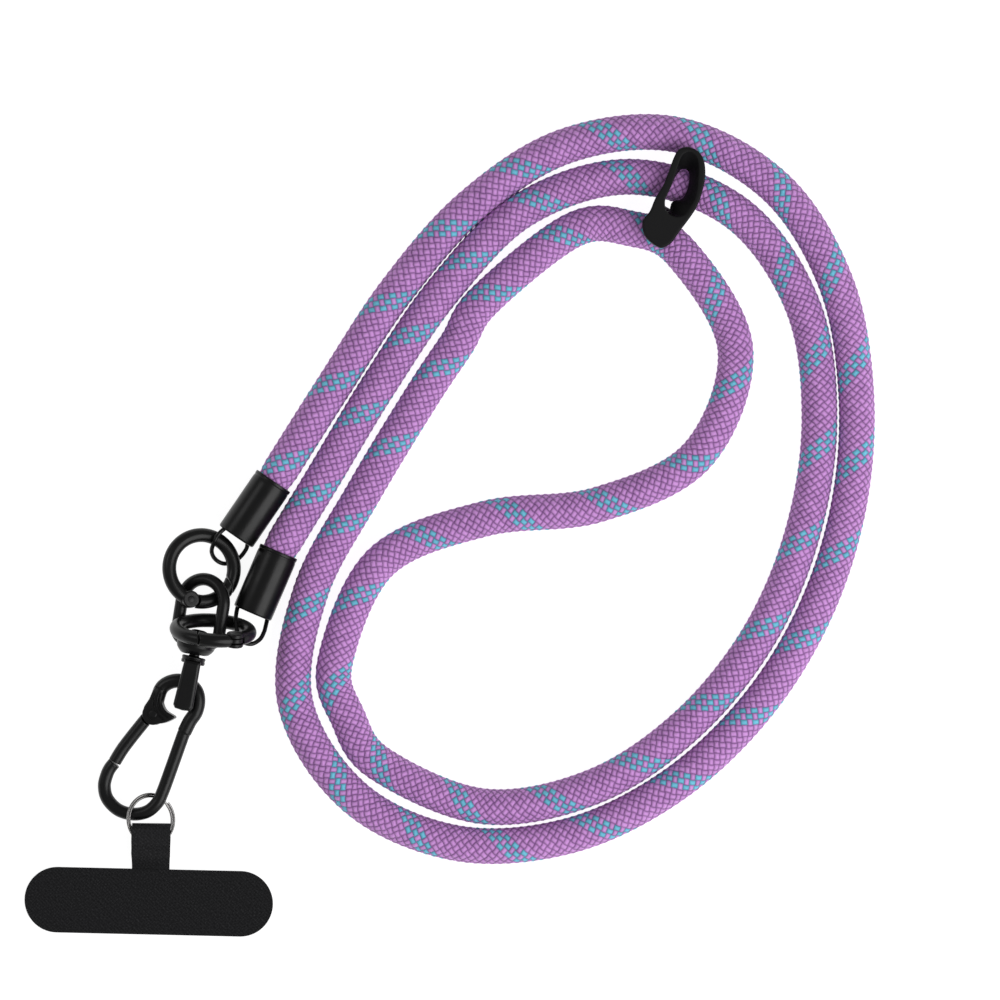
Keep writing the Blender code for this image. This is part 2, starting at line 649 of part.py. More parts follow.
def build_tab(group, cutters, fabric):
    turn = Matrix.Rotation(TAB_TURN, 4, "Z")
    half = TAB_WIDTH / 2
    corner = TAB_HEIGHT / 2
    stem = STEM_WIDTH / 2
    top = corner + STEM_LENGTH - POCKET_LENGTH + POCKET_LAYER
    outline = []
    for side, start in ((1, -90), (-1, 90)):
        for k in range(17):
            a = math.radians(start + 180 * k / 16)
            outline.append((side * (half - corner) + corner * math.cos(a), corner * math.sin(a)))
        if side == 1:
            rise = [corner + (top - corner) * k / 6 for k in range(7)]
            outline += [(STEM_OFFSET + stem, h) for h in rise]
            outline += [(STEM_OFFSET + stem - STEM_WIDTH * k / 6, top) for k in range(1, 6)]
            outline += [(STEM_OFFSET - stem, h) for h in reversed(rise)]
    place = turn @ Matrix.Translation((0, 0, TAB_THICKNESS / 2))
    tab = plate("phone_tab", [outline], TAB_THICKNESS, place, group)
    middle, _, along = split_axes()
    middle = middle - along * SPLIT_RADIUS * 0.8
    inner = SPLIT_WIRE / 2 + CLEAR + POCKET_PLAY
    outer = inner + POCKET_LAYER
    low = corner + STEM_LENGTH - POCKET_LENGTH
    high = corner + STEM_LENGTH
    rows = [(high - outer, outer, inner), (high - POCKET_LENGTH * 0.55, outer, inner),
            (low + POCKET_ROOT, outer * 0.75, inner * 0.35)]
    outside = [(low, -TAB_THICKNESS / 2)]
    outside += [(y, -o) for y, o, _ in reversed(rows)]
    outside += [(high - outer + outer * math.sin(math.radians(a)), -outer * math.cos(math.radians(a)))
                for a in range(20, 180, 20)]
    outside += [(y, o) for y, o, _ in rows] + [(low, TAB_THICKNESS / 2)]
    inside = [(y, -i) for y, _, i in reversed(rows)]
    inside += [(high - outer + inner * math.sin(math.radians(a)), -inner * math.cos(math.radians(a)))
               for a in range(30, 180, 30)]
    inside += [(y, i) for y, _, i in rows]
    pocket_place = (turn @ Matrix.Translation((STEM_OFFSET, 0, 0))
                    @ frame_matrix((0, 0, 0), Vector((0, 1, 0)), Vector((1, 0, 0))))
    pocket = plate("pocket", [outside, inside], STEM_WIDTH, pocket_place, group)
    lift_stem(tab, corner, low, middle.z, 0)
    lift_stem(pocket, corner, low, middle.z, TAB_THICKNESS / 2)
    boolean(tab, pocket, "UNION")
    finish(tab, fabric, [pocket], cutters)


def lift_stem(piece, start, end, height, base):
    """Raise and roll the stem so that its pocket follows the split ring."""
    turn = Matrix.Rotation(TAB_TURN, 4, "Z")
    place = piece.matrix_world.copy()
    back = place.inverted()
    for v in piece.data.vertices:
        at = turn.inverted() @ (place @ v.co)
        share = min(max((at.y - start) / (end - start), 0), 1)
        share = share * share * (3 - 2 * share)
        level = at.z - (TAB_THICKNESS / 2 - base)
        side = at.x - STEM_OFFSET
        angle = POCKET_ROLL * share
        at.x = STEM_OFFSET + side * math.cos(angle) + level * math.sin(angle)
        at.z = (TAB_THICKNESS / 2 + (height - TAB_THICKNESS / 2) * share
                - side * math.sin(angle) + level * math.cos(angle))
        v.co = back @ (turn @ at)


def build_keeper(group, cutters, rubber):
    base = ROPE_DIAMETER + CLEAR
    outlines = [[(x * KEEPER_LENGTH, y * KEEPER_LENGTH) for x, y in rows]
                for rows in (KEEPER_OUTLINE, KEEPER_WINDOW)]
    rounded = []
    for rows in outlines:
        smooth = smooth_path([Vector((x, y, 0)) for x, y in rows], KEEPER_POINT_SPACING,
                             closed=True)
        rounded.append([(p.x, p.y) for p in smooth])
    place = Matrix.Translation(KEEPER_MIDDLE + UP * (base + KEEPER_THICKNESS / 2))
    keeper = plate("rope_keeper", rounded, KEEPER_THICKNESS, place, group)
    inner = ROPE_DIAMETER / 2 + CLEAR
    outer = inner + KEEPER_WALL
    profile = [(outer * math.cos(math.radians(a)), outer * math.sin(math.radians(a)))
               for a in range(-40, 101, 10)]
    profile += [(inner * math.cos(math.radians(a)), inner * math.sin(math.radians(a)))
                for a in range(100, -41, -10)]
    side = Vector((-KEEPER_STRAND.y, KEEPER_STRAND.x, 0))
    clip_place = frame_matrix(KEEPER_MIDDLE + UP * ROPE_DIAMETER / 2, side, KEEPER_STRAND)
    clip = plate("clip", [profile], KEEPER_CLIP_LENGTH, clip_place, group)
    boolean(keeper, clip, "UNION")
    finish(keeper, rubber, [clip], cutters)


def main():
    clear_scene()
    strap = collection("phone_crossbody_strap")
    cutters = collection("cutters")
    rope_look = material("orchid_rope", (0.44, 0.18, 0.53), 0.8, 0.0)
    black = material("black_satin_metal", (0.02, 0.02, 0.02), 0.35, 0.8)
    steel = material("gunmetal", (0.35, 0.35, 0.36), 0.3, 1.0)
    fabric = material("black_webbing", (0.015, 0.015, 0.017), 0.85, 0.0)
    rubber = material("black_silicone", (0.02, 0.02, 0.02), 0.6, 0.0)
    build_rope(strap, rope_look)
    build_keeper(strap, cutters, rubber)
    build_cap("upper", UPPER_CAP_MOUTH, UPPER_CAP_TOWARDS, UPPER_BAIL_RISE, UPPER_BAIL_MM,
              strap, cutters, black)
    build_cap("lower", LOWER_CAP_MOUTH, LOWER_CAP_TOWARDS, LOWER_BAIL_RISE, LOWER_BAIL_MM,
              strap, cutters, black)
    build_ring("upper", upper_ring_axes(), UPPER_RING_RADIUS, UPPER_RING_KNUCKLE,
               UPPER_RING_SEAM, strap, cutters, black)
    build_ring("lower", lower_ring_axes(), LOWER_RING_RADIUS, LOWER_RING_KNUCKLE,
               LOWER_RING_SEAM, strap, cutters, black)
    build_bow(strap, cutters, black)
    build_eye(strap, cutters, black)
    build_carabiner(strap, cutters, black)
    build_split_ring(strap, steel)
    build_tab(strap, cutters, fabric)


main()
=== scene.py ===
# %% [markdown]
# A phone crossbody strap lies flat on a white table: a braided rope, two metal end caps,
# two spring rings, a swivel, a small carabiner, a split ring and a thin woven tab.
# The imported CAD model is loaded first, because every piece made here sits where it says.

# %% Load the frame
import math

import bmesh
import bpy
import numpy as np
from mathutils import Matrix, Vector


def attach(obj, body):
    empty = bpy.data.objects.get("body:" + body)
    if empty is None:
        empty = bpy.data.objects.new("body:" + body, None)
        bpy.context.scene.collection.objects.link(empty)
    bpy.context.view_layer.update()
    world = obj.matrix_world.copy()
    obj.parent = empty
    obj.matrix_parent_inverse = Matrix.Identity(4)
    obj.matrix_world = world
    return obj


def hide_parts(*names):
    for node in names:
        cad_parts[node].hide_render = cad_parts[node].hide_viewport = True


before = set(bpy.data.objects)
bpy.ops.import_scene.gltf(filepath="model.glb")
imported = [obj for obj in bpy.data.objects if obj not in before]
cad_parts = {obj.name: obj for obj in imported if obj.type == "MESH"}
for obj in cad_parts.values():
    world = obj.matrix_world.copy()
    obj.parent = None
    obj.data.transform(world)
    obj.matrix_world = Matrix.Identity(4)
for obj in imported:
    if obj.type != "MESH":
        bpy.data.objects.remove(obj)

MM = 0.001
UP = Vector((0, 0, 1))
SCENE_MIDDLE = Vector((0.09, 0.1, 0))
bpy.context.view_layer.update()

# %% [markdown]
# The photograph was taken from straight above with little perspective. A long lens far
# away gives the same flat view, and at rope height 250 mm fill the picture.

# %% Camera
VIEW_WIDTH = 0.25
CAMERA_HEIGHT = 2.5
SENSOR_WIDTH = 36
FOCUS_HEIGHT = 4.5 * MM
bpy.ops.object.camera_add(location=(0.08795, 0.1006, CAMERA_HEIGHT), rotation=(0, 0, 0))
camera = bpy.context.object
camera.name = "top_camera"
camera.data.sensor_width = SENSOR_WIDTH
camera.data.lens = SENSOR_WIDTH * (CAMERA_HEIGHT - FOCUS_HEIGHT) / VIEW_WIDTH
bpy.context.scene.camera = camera
bpy.context.scene.view_settings.view_transform = "Standard"
print("lens", round(camera.data.lens, 1))

# %% [markdown]
# The light is a studio's: one soft box on the lower right, a weak one on the left, and pale
# surroundings. The floor is a sheet lit from below, so that it stays white everywhere.

# %% Floor and lights
FLOOR_DROP = 0.4 * MM
SURROUNDINGS = 0.36
FLOOR_GLOW = 0.92


def mode(name):
    bpy.ops.object.mode_set(mode=name)


def deselect():
    bpy.ops.object.select_all(action="DESELECT")


def activate(made):
    deselect()
    made.select_set(True)
    bpy.context.view_layer.objects.active = made
    return made


def soft_box(name, place, size, power):
    bpy.ops.object.light_add(type="AREA", location=place)
    lamp = bpy.context.object
    lamp.name = name
    lamp.data.size = size
    lamp.data.energy = power
    aim = SCENE_MIDDLE - Vector(place)
    lamp.rotation_euler = aim.to_track_quat("-Z", "Y").to_euler()
    return lamp


soft_box("key_light", (0.95, -0.4, 1.05), 1.3, 19)
soft_box("left_light", (-0.8, 0.5, 0.8), 0.5, 1.4)

world = bpy.data.worlds.new("studio")
bpy.context.scene.world = world
world.use_nodes = True
world.node_tree.nodes["Background"].inputs["Color"].default_value = (1, 1, 1, 1)
world.node_tree.nodes["Background"].inputs["Strength"].default_value = SURROUNDINGS

deselect()
bpy.ops.mesh.primitive_plane_add(size=6, location=SCENE_MIDDLE - UP * FLOOR_DROP)
floor = bpy.context.object
floor.name = "floor"
print("two lamps and a", floor.name)

# %% [markdown]
# A material is a small graph of nodes. Each could be wired by hand, but every finish needs
# the same few steps, so these helpers take them up.

# %% Node helpers


def new_look(name, **sockets):
    """A material with its shader's plain values set by socket name."""
    made = bpy.data.materials.new(name)
    made.use_nodes = True
    shader = made.node_tree.nodes["Principled BSDF"]
    for key, value in sockets.items():
        shader.inputs[key.replace("_", " ")].default_value = value
    return made, made.node_tree, shader


def node(tree, kind, **values):
    made = tree.nodes.new(kind)
    for key, value in values.items():
        if hasattr(made, key):
            setattr(made, key, value)
        else:
            made.inputs[key.replace("_", " ")].default_value = value
    return made


def sum_of(tree, operation, first, second=None, third=None):
    """One Math node; each term is a number or another node's output."""
    made = tree.nodes.new("ShaderNodeMath")
    made.operation = operation
    for k, term in enumerate((first, second, third)):
        if term is None:
            continue
        if isinstance(term, (int, float)):
            made.inputs[k].default_value = term
        else:
            tree.links.new(term, made.inputs[k])
    return made.outputs[0]


def mixed(tree, share, first, second):
    """A colour between two colours or colour outputs."""
    made = tree.nodes.new("ShaderNodeMix")
    made.data_type = "RGBA"
    for socket, term in ((0, share), (6, first), (7, second)):
        if isinstance(term, bpy.types.NodeSocket):
            tree.links.new(term, made.inputs[socket])
        elif socket:
            made.inputs[socket].default_value = (*term, 1)
        else:
            made.inputs[socket].default_value = term
    return made.outputs[2]


def bump(tree, shader, height, strength, distance):
    made = node(tree, "ShaderNodeBump", Strength=strength, Distance=distance)
    tree.links.new(height, made.inputs["Height"])
    tree.links.new(made.outputs[0], shader.inputs["Normal"])


def cloud(tree, scale, detail):
    """Noise on the piece's own coordinates."""
    place = node(tree, "ShaderNodeTexCoord")
    made = node(tree, "ShaderNodeTexNoise", Scale=scale, Detail=detail)
    tree.links.new(place.outputs["Object"], made.inputs["Vector"])
    return made.outputs[0]


def raised_edges(tree, start, gain, most):
    """How strongly a place stands out as an edge."""
    edges = node(tree, "ShaderNodeNewGeometry")
    rise = sum_of(tree, "SUBTRACT", edges.outputs["Pointiness"], start)
    rise = sum_of(tree, "MAXIMUM", sum_of(tree, "MULTIPLY", rise, gain), 0)
    return sum_of(tree, "MINIMUM", rise, most)


white_sheet, tree, shader = new_look("white_sheet", Roughness=0.8)
shader.inputs["Base Color"].default_value = (0.25, 0.25, 0.25, 1)
shader.inputs["Emission Color"].default_value = (1, 1, 1, 1)
shader.inputs["Emission Strength"].default_value = FLOOR_GLOW
floor.data.materials.append(white_sheet)

# %% [markdown]
# The rope is a plain braid: twelve yarns wind to the right and twelve to the left, each
# over one and under one. Three neighbours of the right-hand set are turquoise, so a
# checkered line winds round the rope. Every yarn could be swept as a tube of its own, but
# that costs millions of faces. A single tube on a grid turned to follow the yarns is
# lighter: each crossing is one square cell, for its bumps and for its colour.

# %% The rope's route
ROPE_DIAMETER = 9.15 * MM
ROPE_MIDDLE = 4.6 * MM
YARNS = 12
CURVE_STEPS = 40
UPPER_CAP_MOUTH = Vector((31.4, 105.4, 5.05)) * MM
UPPER_CAP_AXIS = Vector((-9.2, -13.5, 0)).normalized()
LOWER_CAP_MOUTH = Vector((32.7, 87.8, 5.05)) * MM
LOWER_CAP_AXIS = Vector((-6.4, -14.9, 0)).normalized()
ROPE_SEAT = 8.6 * MM
ROPE_ROUTE_MM = [
    (46.6, 129.4), (62.2, 153.1), (80.9, 174.2), (104.4, 189.1), (132.2, 191.9), (156.9, 178.8),
    (171.9, 155.0), (177.0, 127.2), (175.1, 99.0), (166.4, 72.0), (151.4, 48.1),
    (130.7, 28.9), (105.4, 16.7), (77.2, 14.8), (51.7, 26.2), (36.8, 49.8),
    (40.6, 77.6), (53.8, 102.4), (68.6, 126.8), (77.2, 139.7), (84.0, 150.5), (106.1, 168.0),
    (120.4, 168.5), (133.2, 162.4), (146.8, 138.3), (137.4, 111.9), (112.3, 99.4), (84.1, 95.9),
    (58.2, 85.1), (46.7, 60.0), (49.9, 46.3), (58.0, 34.6), (84.0, 24.0), (111.7, 29.1),
    (135.1, 44.8), (152.9, 67.0), (163.8, 93.1), (167.8, 121.3), (163.6, 149.2), (147.3, 172.2),
    (120.9, 181.4), (94.2, 173.4), (74.3, 153.6), (58.1, 130.0), (43.7, 106.1),
]
# Where the turquoise line is on top: length along the rope in millimetres, turns so far
TRACER_MM = [(5.5, 0), (243, 10), (477.5, 20), (706.5, 30), (938.5, 40), (1173, 50)]


def smooth_line(points, steps, closed=False):
    """A smooth curve through the points, as a list of many points."""
    count = len(points)
    line = []
    for i in range(count if closed else count - 1):
        if closed:
            a, b, c, d = (points[(i + k - 1) % count] for k in range(4))
        else:
            a, b, c, d = (points[min(max(i + k - 1, 0), count - 1)] for k in range(4))
        for step in range(steps):
            t = step / steps
            line.append(0.5 * (2 * b + (c - a) * t + (2 * a - 5 * b + 4 * c - d) * t * t
                               + (3 * b - a - 3 * c + d) * t ** 3))
    if not closed:
        line.append(points[-1].copy())
    return line


route = [UPPER_CAP_MOUTH + UPPER_CAP_AXIS * ROPE_SEAT, UPPER_CAP_MOUTH]
route += [Vector((x * MM, y * MM, ROPE_MIDDLE)) for x, y in ROPE_ROUTE_MM]
route += [LOWER_CAP_MOUTH, LOWER_CAP_MOUTH + LOWER_CAP_AXIS * ROPE_SEAT]
line = np.array([tuple(p) for p in smooth_line(route, CURVE_STEPS)])
line[:, 2] = np.maximum(line[:, 2], ROPE_MIDDLE)
reach = np.concatenate([[0], np.cumsum(np.linalg.norm(np.diff(line, axis=0), axis=1))])
rope_length = float(reach[-1])
print("rope length", round(rope_length, 4))

# %% [markdown]
# The tube has 24 points round it, each ring turned half a step from the last, so its
# points fall on the middles, sides and corners of the cells. Middles stand proud and
# corners lie deep. The tracer's readings stretch the grid, as a real braid's twist varies.

# %% Build the rope
PICK_HEIGHT = 0.24 * MM
NECK = 0.32 * MM
NECK_TAPER = 3 * MM
LOOK_AHEAD = 1.5 * MM
RELIEF_SLOPE = 1.15


def on_route(lengths):
    """Points on the route at these lengths from its start."""
    return np.stack([np.interp(lengths, reach, line[:, k]) for k in range(3)], 1)


def build_rope():
    marks = [(row[0] * MM + ROPE_SEAT, row[1]) for row in TRACER_MM]
    first_pitch = (marks[1][0] - marks[0][0]) / (marks[1][1] - marks[0][1])
    last_pitch = (marks[-1][0] - marks[-2][0]) / (marks[-1][1] - marks[-2][1])
    start_turn = marks[0][1] - marks[0][0] / first_pitch
    end_turn = marks[-1][1] + (rope_length - marks[-1][0]) / last_pitch
    lengths = [0] + [m[0] for m in marks] + [rope_length]
    turns = [start_turn] + [m[1] for m in marks] + [end_turn]
    per_turn = 4 * YARNS
    rings = np.arange(math.ceil(start_turn * per_turn), math.floor(end_turn * per_turn) + 1)
    turn = rings / per_turn
    along = np.interp(turn, turns, lengths)
    middle = on_route(along)
    forward = on_route(along + LOOK_AHEAD) - on_route(along - LOOK_AHEAD)
    forward /= np.linalg.norm(forward, axis=1)[:, None]
    side = np.cross(forward, (0, 0, 1))
    side /= np.linalg.norm(side, axis=1)[:, None]
    top = np.cross(side, forward)
    around = 2 * YARNS
    step = (2 * np.arange(around)[None, :] + (rings[:, None] % 2)) / per_turn
    right = YARNS * (step - turn[:, None])
    left = YARNS * (step + turn[:, None])
    off_right = np.abs(right - np.round(right))
    off_left = np.abs(left - np.round(left))
    relief = (1 - RELIEF_SLOPE * off_right) * (1 - RELIEF_SLOPE * off_left)
    low = (1 - RELIEF_SLOPE / 2) ** 2
    relief = (relief - low) / (1 - low)
    edge = np.minimum(along, rope_length - along)
    neck = NECK * np.clip(1 - (edge - ROPE_SEAT) / NECK_TAPER, 0, 1)
    radius = ROPE_DIAMETER / 2 - PICK_HEIGHT + PICK_HEIGHT * relief - neck[:, None]
    angle = step * math.tau
    spots = (middle[:, None, :] + radius[:, :, None] * (np.cos(angle)[:, :, None] * top[:, None, :]
             + np.sin(angle)[:, :, None] * side[:, None, :]))
    verts = spots.reshape(-1, 3)
    faces = []
    wraps = []
    for m in range(len(rings) - 2):
        odd = int(rings[m] % 2)
        for h in range(around):
            right_h = (h + 1) % around if odd else h
            left_h = h if odd else (h - 1) % around
            faces.append((m * around + h, (m + 1) * around + right_h,
                          (m + 2) * around + h, (m + 1) * around + left_h))
            s = (2 * h + odd) / per_turn
            wraps.append((s, s + 1 / per_turn, s, s - 1 / per_turn))
    first_uv = len(faces)
    last = (len(rings) - 1) * around
    for base, order in ((0, 1), (last, -1)):
        odd = int(rings[0 if order == 1 else -1] % 2)
        inner = around if order == 1 else last - around
        for h in range(around):
            other = h if odd else (h - 1) % around
            tri = (base + h, base + (h + 1) % around, inner + ((h + 1) % around if odd else h))
            faces.append(tri if order == 1 else tri[::-1])
        faces.append(tuple(base + h for h in range(around))[::-order])
    mesh = bpy.data.meshes.new("braided_rope")
    mesh.from_pydata([tuple(v) for v in verts], [], faces)
    uv = mesh.uv_layers.new(name="braid")
    data = np.zeros((len(mesh.loops), 2))
    loop = 0
    for k, face in enumerate(faces):
        for c, v in enumerate(face):
            u = wraps[k][c] if k < first_uv else 0.5
            data[loop] = (u, turn[v // around])
            loop += 1
    uv.data.foreach_set("uv", data.ravel())
    made = bpy.data.objects.new("braided_rope", mesh)
    bpy.context.scene.collection.objects.link(made)
    made.data.shade_smooth()
    return made, middle


rope, ring_middles = build_rope()
activate(rope)
mode("EDIT")
bpy.ops.mesh.select_all(action="SELECT")
bpy.ops.mesh.normals_make_consistent(inside=False)
mode("OBJECT")
print("rope faces", len(rope.data.polygons))

# %% [markdown]
# The yarn's colour could be painted on, but it comes from the same grid, so that it always
# agrees with the bumps. The map holds the share of a turn round the rope and the turns of
# the braid: their difference counts the yarns that wind right, their sum those to the left.
# Each pick is painted darker towards its edges and the gaps and lighter at its crown, as
# painted shade and highlight, mixed with a random tone for each cell and faint patches.

# %% The rope's finish
ORCHID = (0.63, 0.3, 0.715)
# The deep colours are painted shade, for the edges of the picks and the gaps between them.
ORCHID_PAINTED_SHADE = (0.125, 0.04, 0.165)
TURQUOISE = (0.165, 0.55, 0.74)
TURQUOISE_PAINTED_SHADE = (0.045, 0.17, 0.27)
PICK_HALF = 0.43
# Shares of the colour: painted shade and highlight from a pick's crown, random tone per cell, faint
# patches.
CROWN_SHADE_SHARE, CHANCE_SHARE, PATCH_SHARE = 0.8, 0.24, 0.1
STRAND_WAVES = 44


def braid_look():
    made, tree, shader = new_look("orchid_braid", Roughness=0.82)
    shader.inputs["Sheen Weight"].default_value = 0.15
    shader.inputs["Sheen Roughness"].default_value = 0.5
    shader.inputs["Specular IOR Level"].default_value = 0.25
    chart = node(tree, "ShaderNodeUVMap", uv_map="braid")
    split = node(tree, "ShaderNodeSeparateXYZ")
    tree.links.new(chart.outputs[0], split.inputs[0])
    around, turn = split.outputs[0], split.outputs[1]
    right = sum_of(tree, "MULTIPLY", sum_of(tree, "SUBTRACT", around, turn), YARNS)
    left = sum_of(tree, "MULTIPLY", sum_of(tree, "ADD", around, turn), YARNS)
    right_yarn = sum_of(tree, "ROUND", right)
    left_yarn = sum_of(tree, "ROUND", left)
    off_right = sum_of(tree, "SUBTRACT", right, right_yarn)
    off_left = sum_of(tree, "SUBTRACT", left, left_yarn)
    odd = sum_of(tree, "FLOORED_MODULO", sum_of(tree, "ADD", right_yarn, left_yarn), 2)
    left_on_top = sum_of(tree, "GREATER_THAN", odd, 0.5)

    def chosen(when_right, when_left):
        gap = sum_of(tree, "SUBTRACT", when_left, when_right)
        return sum_of(tree, "MULTIPLY_ADD", gap, left_on_top, when_right)

    across = sum_of(tree, "ABSOLUTE", chosen(off_right, off_left))
    length = sum_of(tree, "ABSOLUTE", chosen(off_left, off_right))

    def pick(aside, onward):
        """How high a pick stands; it is longer than its cell and narrower."""
        wide = sum_of(tree, "POWER", sum_of(tree, "MULTIPLY", aside, 1 / PICK_HALF), 2.2)
        long = sum_of(tree, "POWER", sum_of(tree, "MULTIPLY", onward, 1 / (1 - PICK_HALF)), 3.2)
        wide = sum_of(tree, "MAXIMUM", sum_of(tree, "SUBTRACT", 1, wide), 0)
        long = sum_of(tree, "MAXIMUM", sum_of(tree, "SUBTRACT", 1, long), 0)
        return sum_of(tree, "MULTIPLY", wide, long)

    own = pick(across, length)
    beside = pick(length, sum_of(tree, "SUBTRACT", 1, across))
    crown = sum_of(tree, "MAXIMUM", own, beside)
    from_beside = sum_of(tree, "GREATER_THAN", beside, own)
    shows_left = sum_of(tree, "ABSOLUTE", sum_of(tree, "SUBTRACT", left_on_top, from_beside))
    strand = sum_of(tree, "SINE", sum_of(tree, "MULTIPLY", across, STRAND_WAVES))
    height = sum_of(tree, "MULTIPLY_ADD", strand, 0.05, crown)
    bump(tree, shader, height, 0.9, 0.36 * MM)

    number = sum_of(tree, "FLOORED_MODULO", sum_of(tree, "ADD", right_yarn, 1), YARNS)
    tracer = sum_of(tree, "LESS_THAN", number, 2.5)
    tracer = sum_of(tree, "MULTIPLY", tracer, sum_of(tree, "SUBTRACT", 1, shows_left))
    cell = node(tree, "ShaderNodeCombineXYZ")
    tree.links.new(right_yarn, cell.inputs[0])
    tree.links.new(left_yarn, cell.inputs[1])
    chance = node(tree, "ShaderNodeTexWhiteNoise", noise_dimensions="2D")
    tree.links.new(cell.outputs[0], chance.inputs["Vector"])
    # Painted shade and highlight: each pick is darker towards its edges and lighter at its crown,
    # plus a random tone per cell and faint patches.
    lit = sum_of(tree, "MULTIPLY", sum_of(tree, "POWER", crown, 0.7), CROWN_SHADE_SHARE)
    lit = sum_of(tree, "MULTIPLY_ADD", chance.outputs["Value"], CHANCE_SHARE, lit)
    lit = sum_of(tree, "MULTIPLY_ADD", cloud(tree, 90.0, 3.0), PATCH_SHARE, lit)
    orchid = mixed(tree, lit, ORCHID_PAINTED_SHADE, ORCHID)
    turquoise = mixed(tree, lit, TURQUOISE_PAINTED_SHADE, TURQUOISE)
    colour = mixed(tree, tracer, orchid, turquoise)
    tree.links.new(colour, shader.inputs["Base Color"])
    return made


rope.data.materials.append(braid_look())
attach(rope, "strap")
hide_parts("rope")
print("rope finish", rope.data.materials[0].name)

# %% [markdown]
# The metal parts are cast zinc and bent wire. Wire is drawn as a path with a round section.
# Turned parts are a profile that is spun. Castings are several such shapes melted into one
# skin by a fine voxel remesh, which also gives the soft inner corners of a real casting,
# and slots and holes are cut after that, so that they stay crisp.

# %% Ways to make metal
DOUBLES = 0.002 * MM
SMOOTH_ANGLE = math.radians(38)
CAST_GRAIN = 0.13 * MM


def weld(made):
    """Merge doubles and point every face outwards."""
    activate(made)
    mode("EDIT")
    bpy.ops.mesh.select_all(action="SELECT")
    bpy.ops.mesh.remove_doubles(threshold=DOUBLES)
    bpy.ops.mesh.normals_make_consistent(inside=False)
    mode("OBJECT")
    return made


def apply_place(made):
    activate(made)
    bpy.ops.object.transform_apply(location=True, rotation=True, scale=True)
    return made


def peg(name, middle, axis, radius, length, sides=48, edge=0.0):
    """A straight pin with softened rims."""
    deselect()
    turn = axis.to_track_quat("Z", "Y").to_euler()
    bpy.ops.mesh.primitive_cylinder_add(vertices=sides, radius=radius, depth=length,
                                        location=middle, rotation=turn)
    made = bpy.context.object
    made.name = name
    if edge:
        mode("EDIT")
        bpy.ops.mesh.select_mode(type="EDGE")
        bpy.ops.mesh.select_all(action="DESELECT")
        work = bmesh.from_edit_mesh(made.data)
        for rim in work.edges:
            rim.select_set(abs(rim.verts[0].co.z - rim.verts[1].co.z) < 1e-7)
        bmesh.update_edit_mesh(made.data)
        bpy.ops.mesh.bevel(offset=edge, segments=3, affect="EDGES")
        mode("OBJECT")
    return apply_place(made)


def drawn_path(name, rows, closed):
    deselect()
    bpy.ops.curve.primitive_nurbs_path_add(location=(0, 0, 0))
    made = bpy.context.object
    made.name = name
    made.data.splines.clear()
    for points in rows:
        spline = made.data.splines.new("POLY")
        spline.points.add(len(points) - 1)
        for k, p in enumerate(points):
            spline.points[k].co = (p[0], p[1], p[2] if len(p) > 2 else 0, 1)
        spline.use_cyclic_u = closed
    return made


def wire(name, points, thickness, closed=False, section=8):
    """Round wire bent along the points."""
    made = drawn_path(name, [points], closed)
    made.data.dimensions = "3D"
    made.data.bevel_depth = thickness / 2
    made.data.bevel_resolution = section
    made.data.use_fill_caps = not closed
    bpy.ops.object.convert(target="MESH")
    return weld(bpy.context.object)


def slab(name, outlines, thickness, place, edge):
    """Flat outlines with soft rims, given a thickness and set in place."""
    made = drawn_path(name, outlines, True)
    made.data.dimensions = "2D"
    made.data.fill_mode = "BOTH"
    made.data.extrude = thickness / 2 - edge
    made.data.bevel_depth = edge
    made.data.bevel_resolution = 3
    made.data.offset = -edge
    bpy.ops.object.convert(target="MESH")
    made = bpy.context.object
    made.matrix_world = place
    return weld(apply_place(made))


def lathe(name, profile, foot, axis, steps=64):
    """A profile of (radius, height) rows spun round its axis."""
    drawn_path(name, [[(r, 0, h) for r, h in profile]], False)
    bpy.context.object.data.dimensions = "3D"
    bpy.ops.object.convert(target="MESH")
    made = bpy.context.object
    mode("EDIT")
    bpy.ops.mesh.select_all(action="SELECT")
    bpy.ops.mesh.spin(steps=steps, angle=math.tau, center=(0, 0, 0), axis=(0, 0, 1))
    mode("OBJECT")
    made.matrix_world = Matrix.Translation(foot) @ axis.to_track_quat("Z", "Y").to_matrix().to_4x4()
    return weld(apply_place(made))


def use(made, kind, **settings):
    """Add a modifier with its settings and apply it."""
    activate(made)
    step = made.modifiers.new("step", kind)
    for key, value in settings.items():
        setattr(step, key, value)
    bpy.ops.object.modifier_apply(modifier="step")
    return made


def cast(name, parts, grain=CAST_GRAIN, soften=5):
    """Melt overlapping parts into one skin."""
    activate(parts[0])
    for part in parts:
        part.select_set(True)
    if len(parts) > 1:
        bpy.ops.object.join()
    made = bpy.context.object
    made.name = name
    made.data.name = name
    use(made, "REMESH", mode="VOXEL", voxel_size=grain)
    use(made, "SMOOTH", factor=0.5, iterations=soften)
    return made


def cut(made, tool, operation="DIFFERENCE"):
    """Cut with a tool, or join it with UNION, and throw the tool away."""
    use(made, "BOOLEAN", object=tool, operation=operation, solver="EXACT")
    bpy.data.objects.remove(tool, do_unlink=True)
    return made


def settle(made, look, body, stands_for):
    """The piece's last step: smooth shading, finish, body and the CAD node it replaces."""
    activate(made)
    bpy.ops.object.shade_smooth_by_angle(angle=SMOOTH_ANGLE)
    made.data.materials.clear()
    made.data.materials.append(look)
    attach(made, body)
    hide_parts(stands_for)
    print(made.name, len(made.data.polygons), "faces")
    return made


def axes_matrix(origin, x_axis, z_axis):
    z = Vector(z_axis).normalized()
    y = z.cross(Vector(x_axis)).normalized()
    return Matrix.Translation(origin) @ Matrix((y.cross(z), y, z)).transposed().to_4x4()


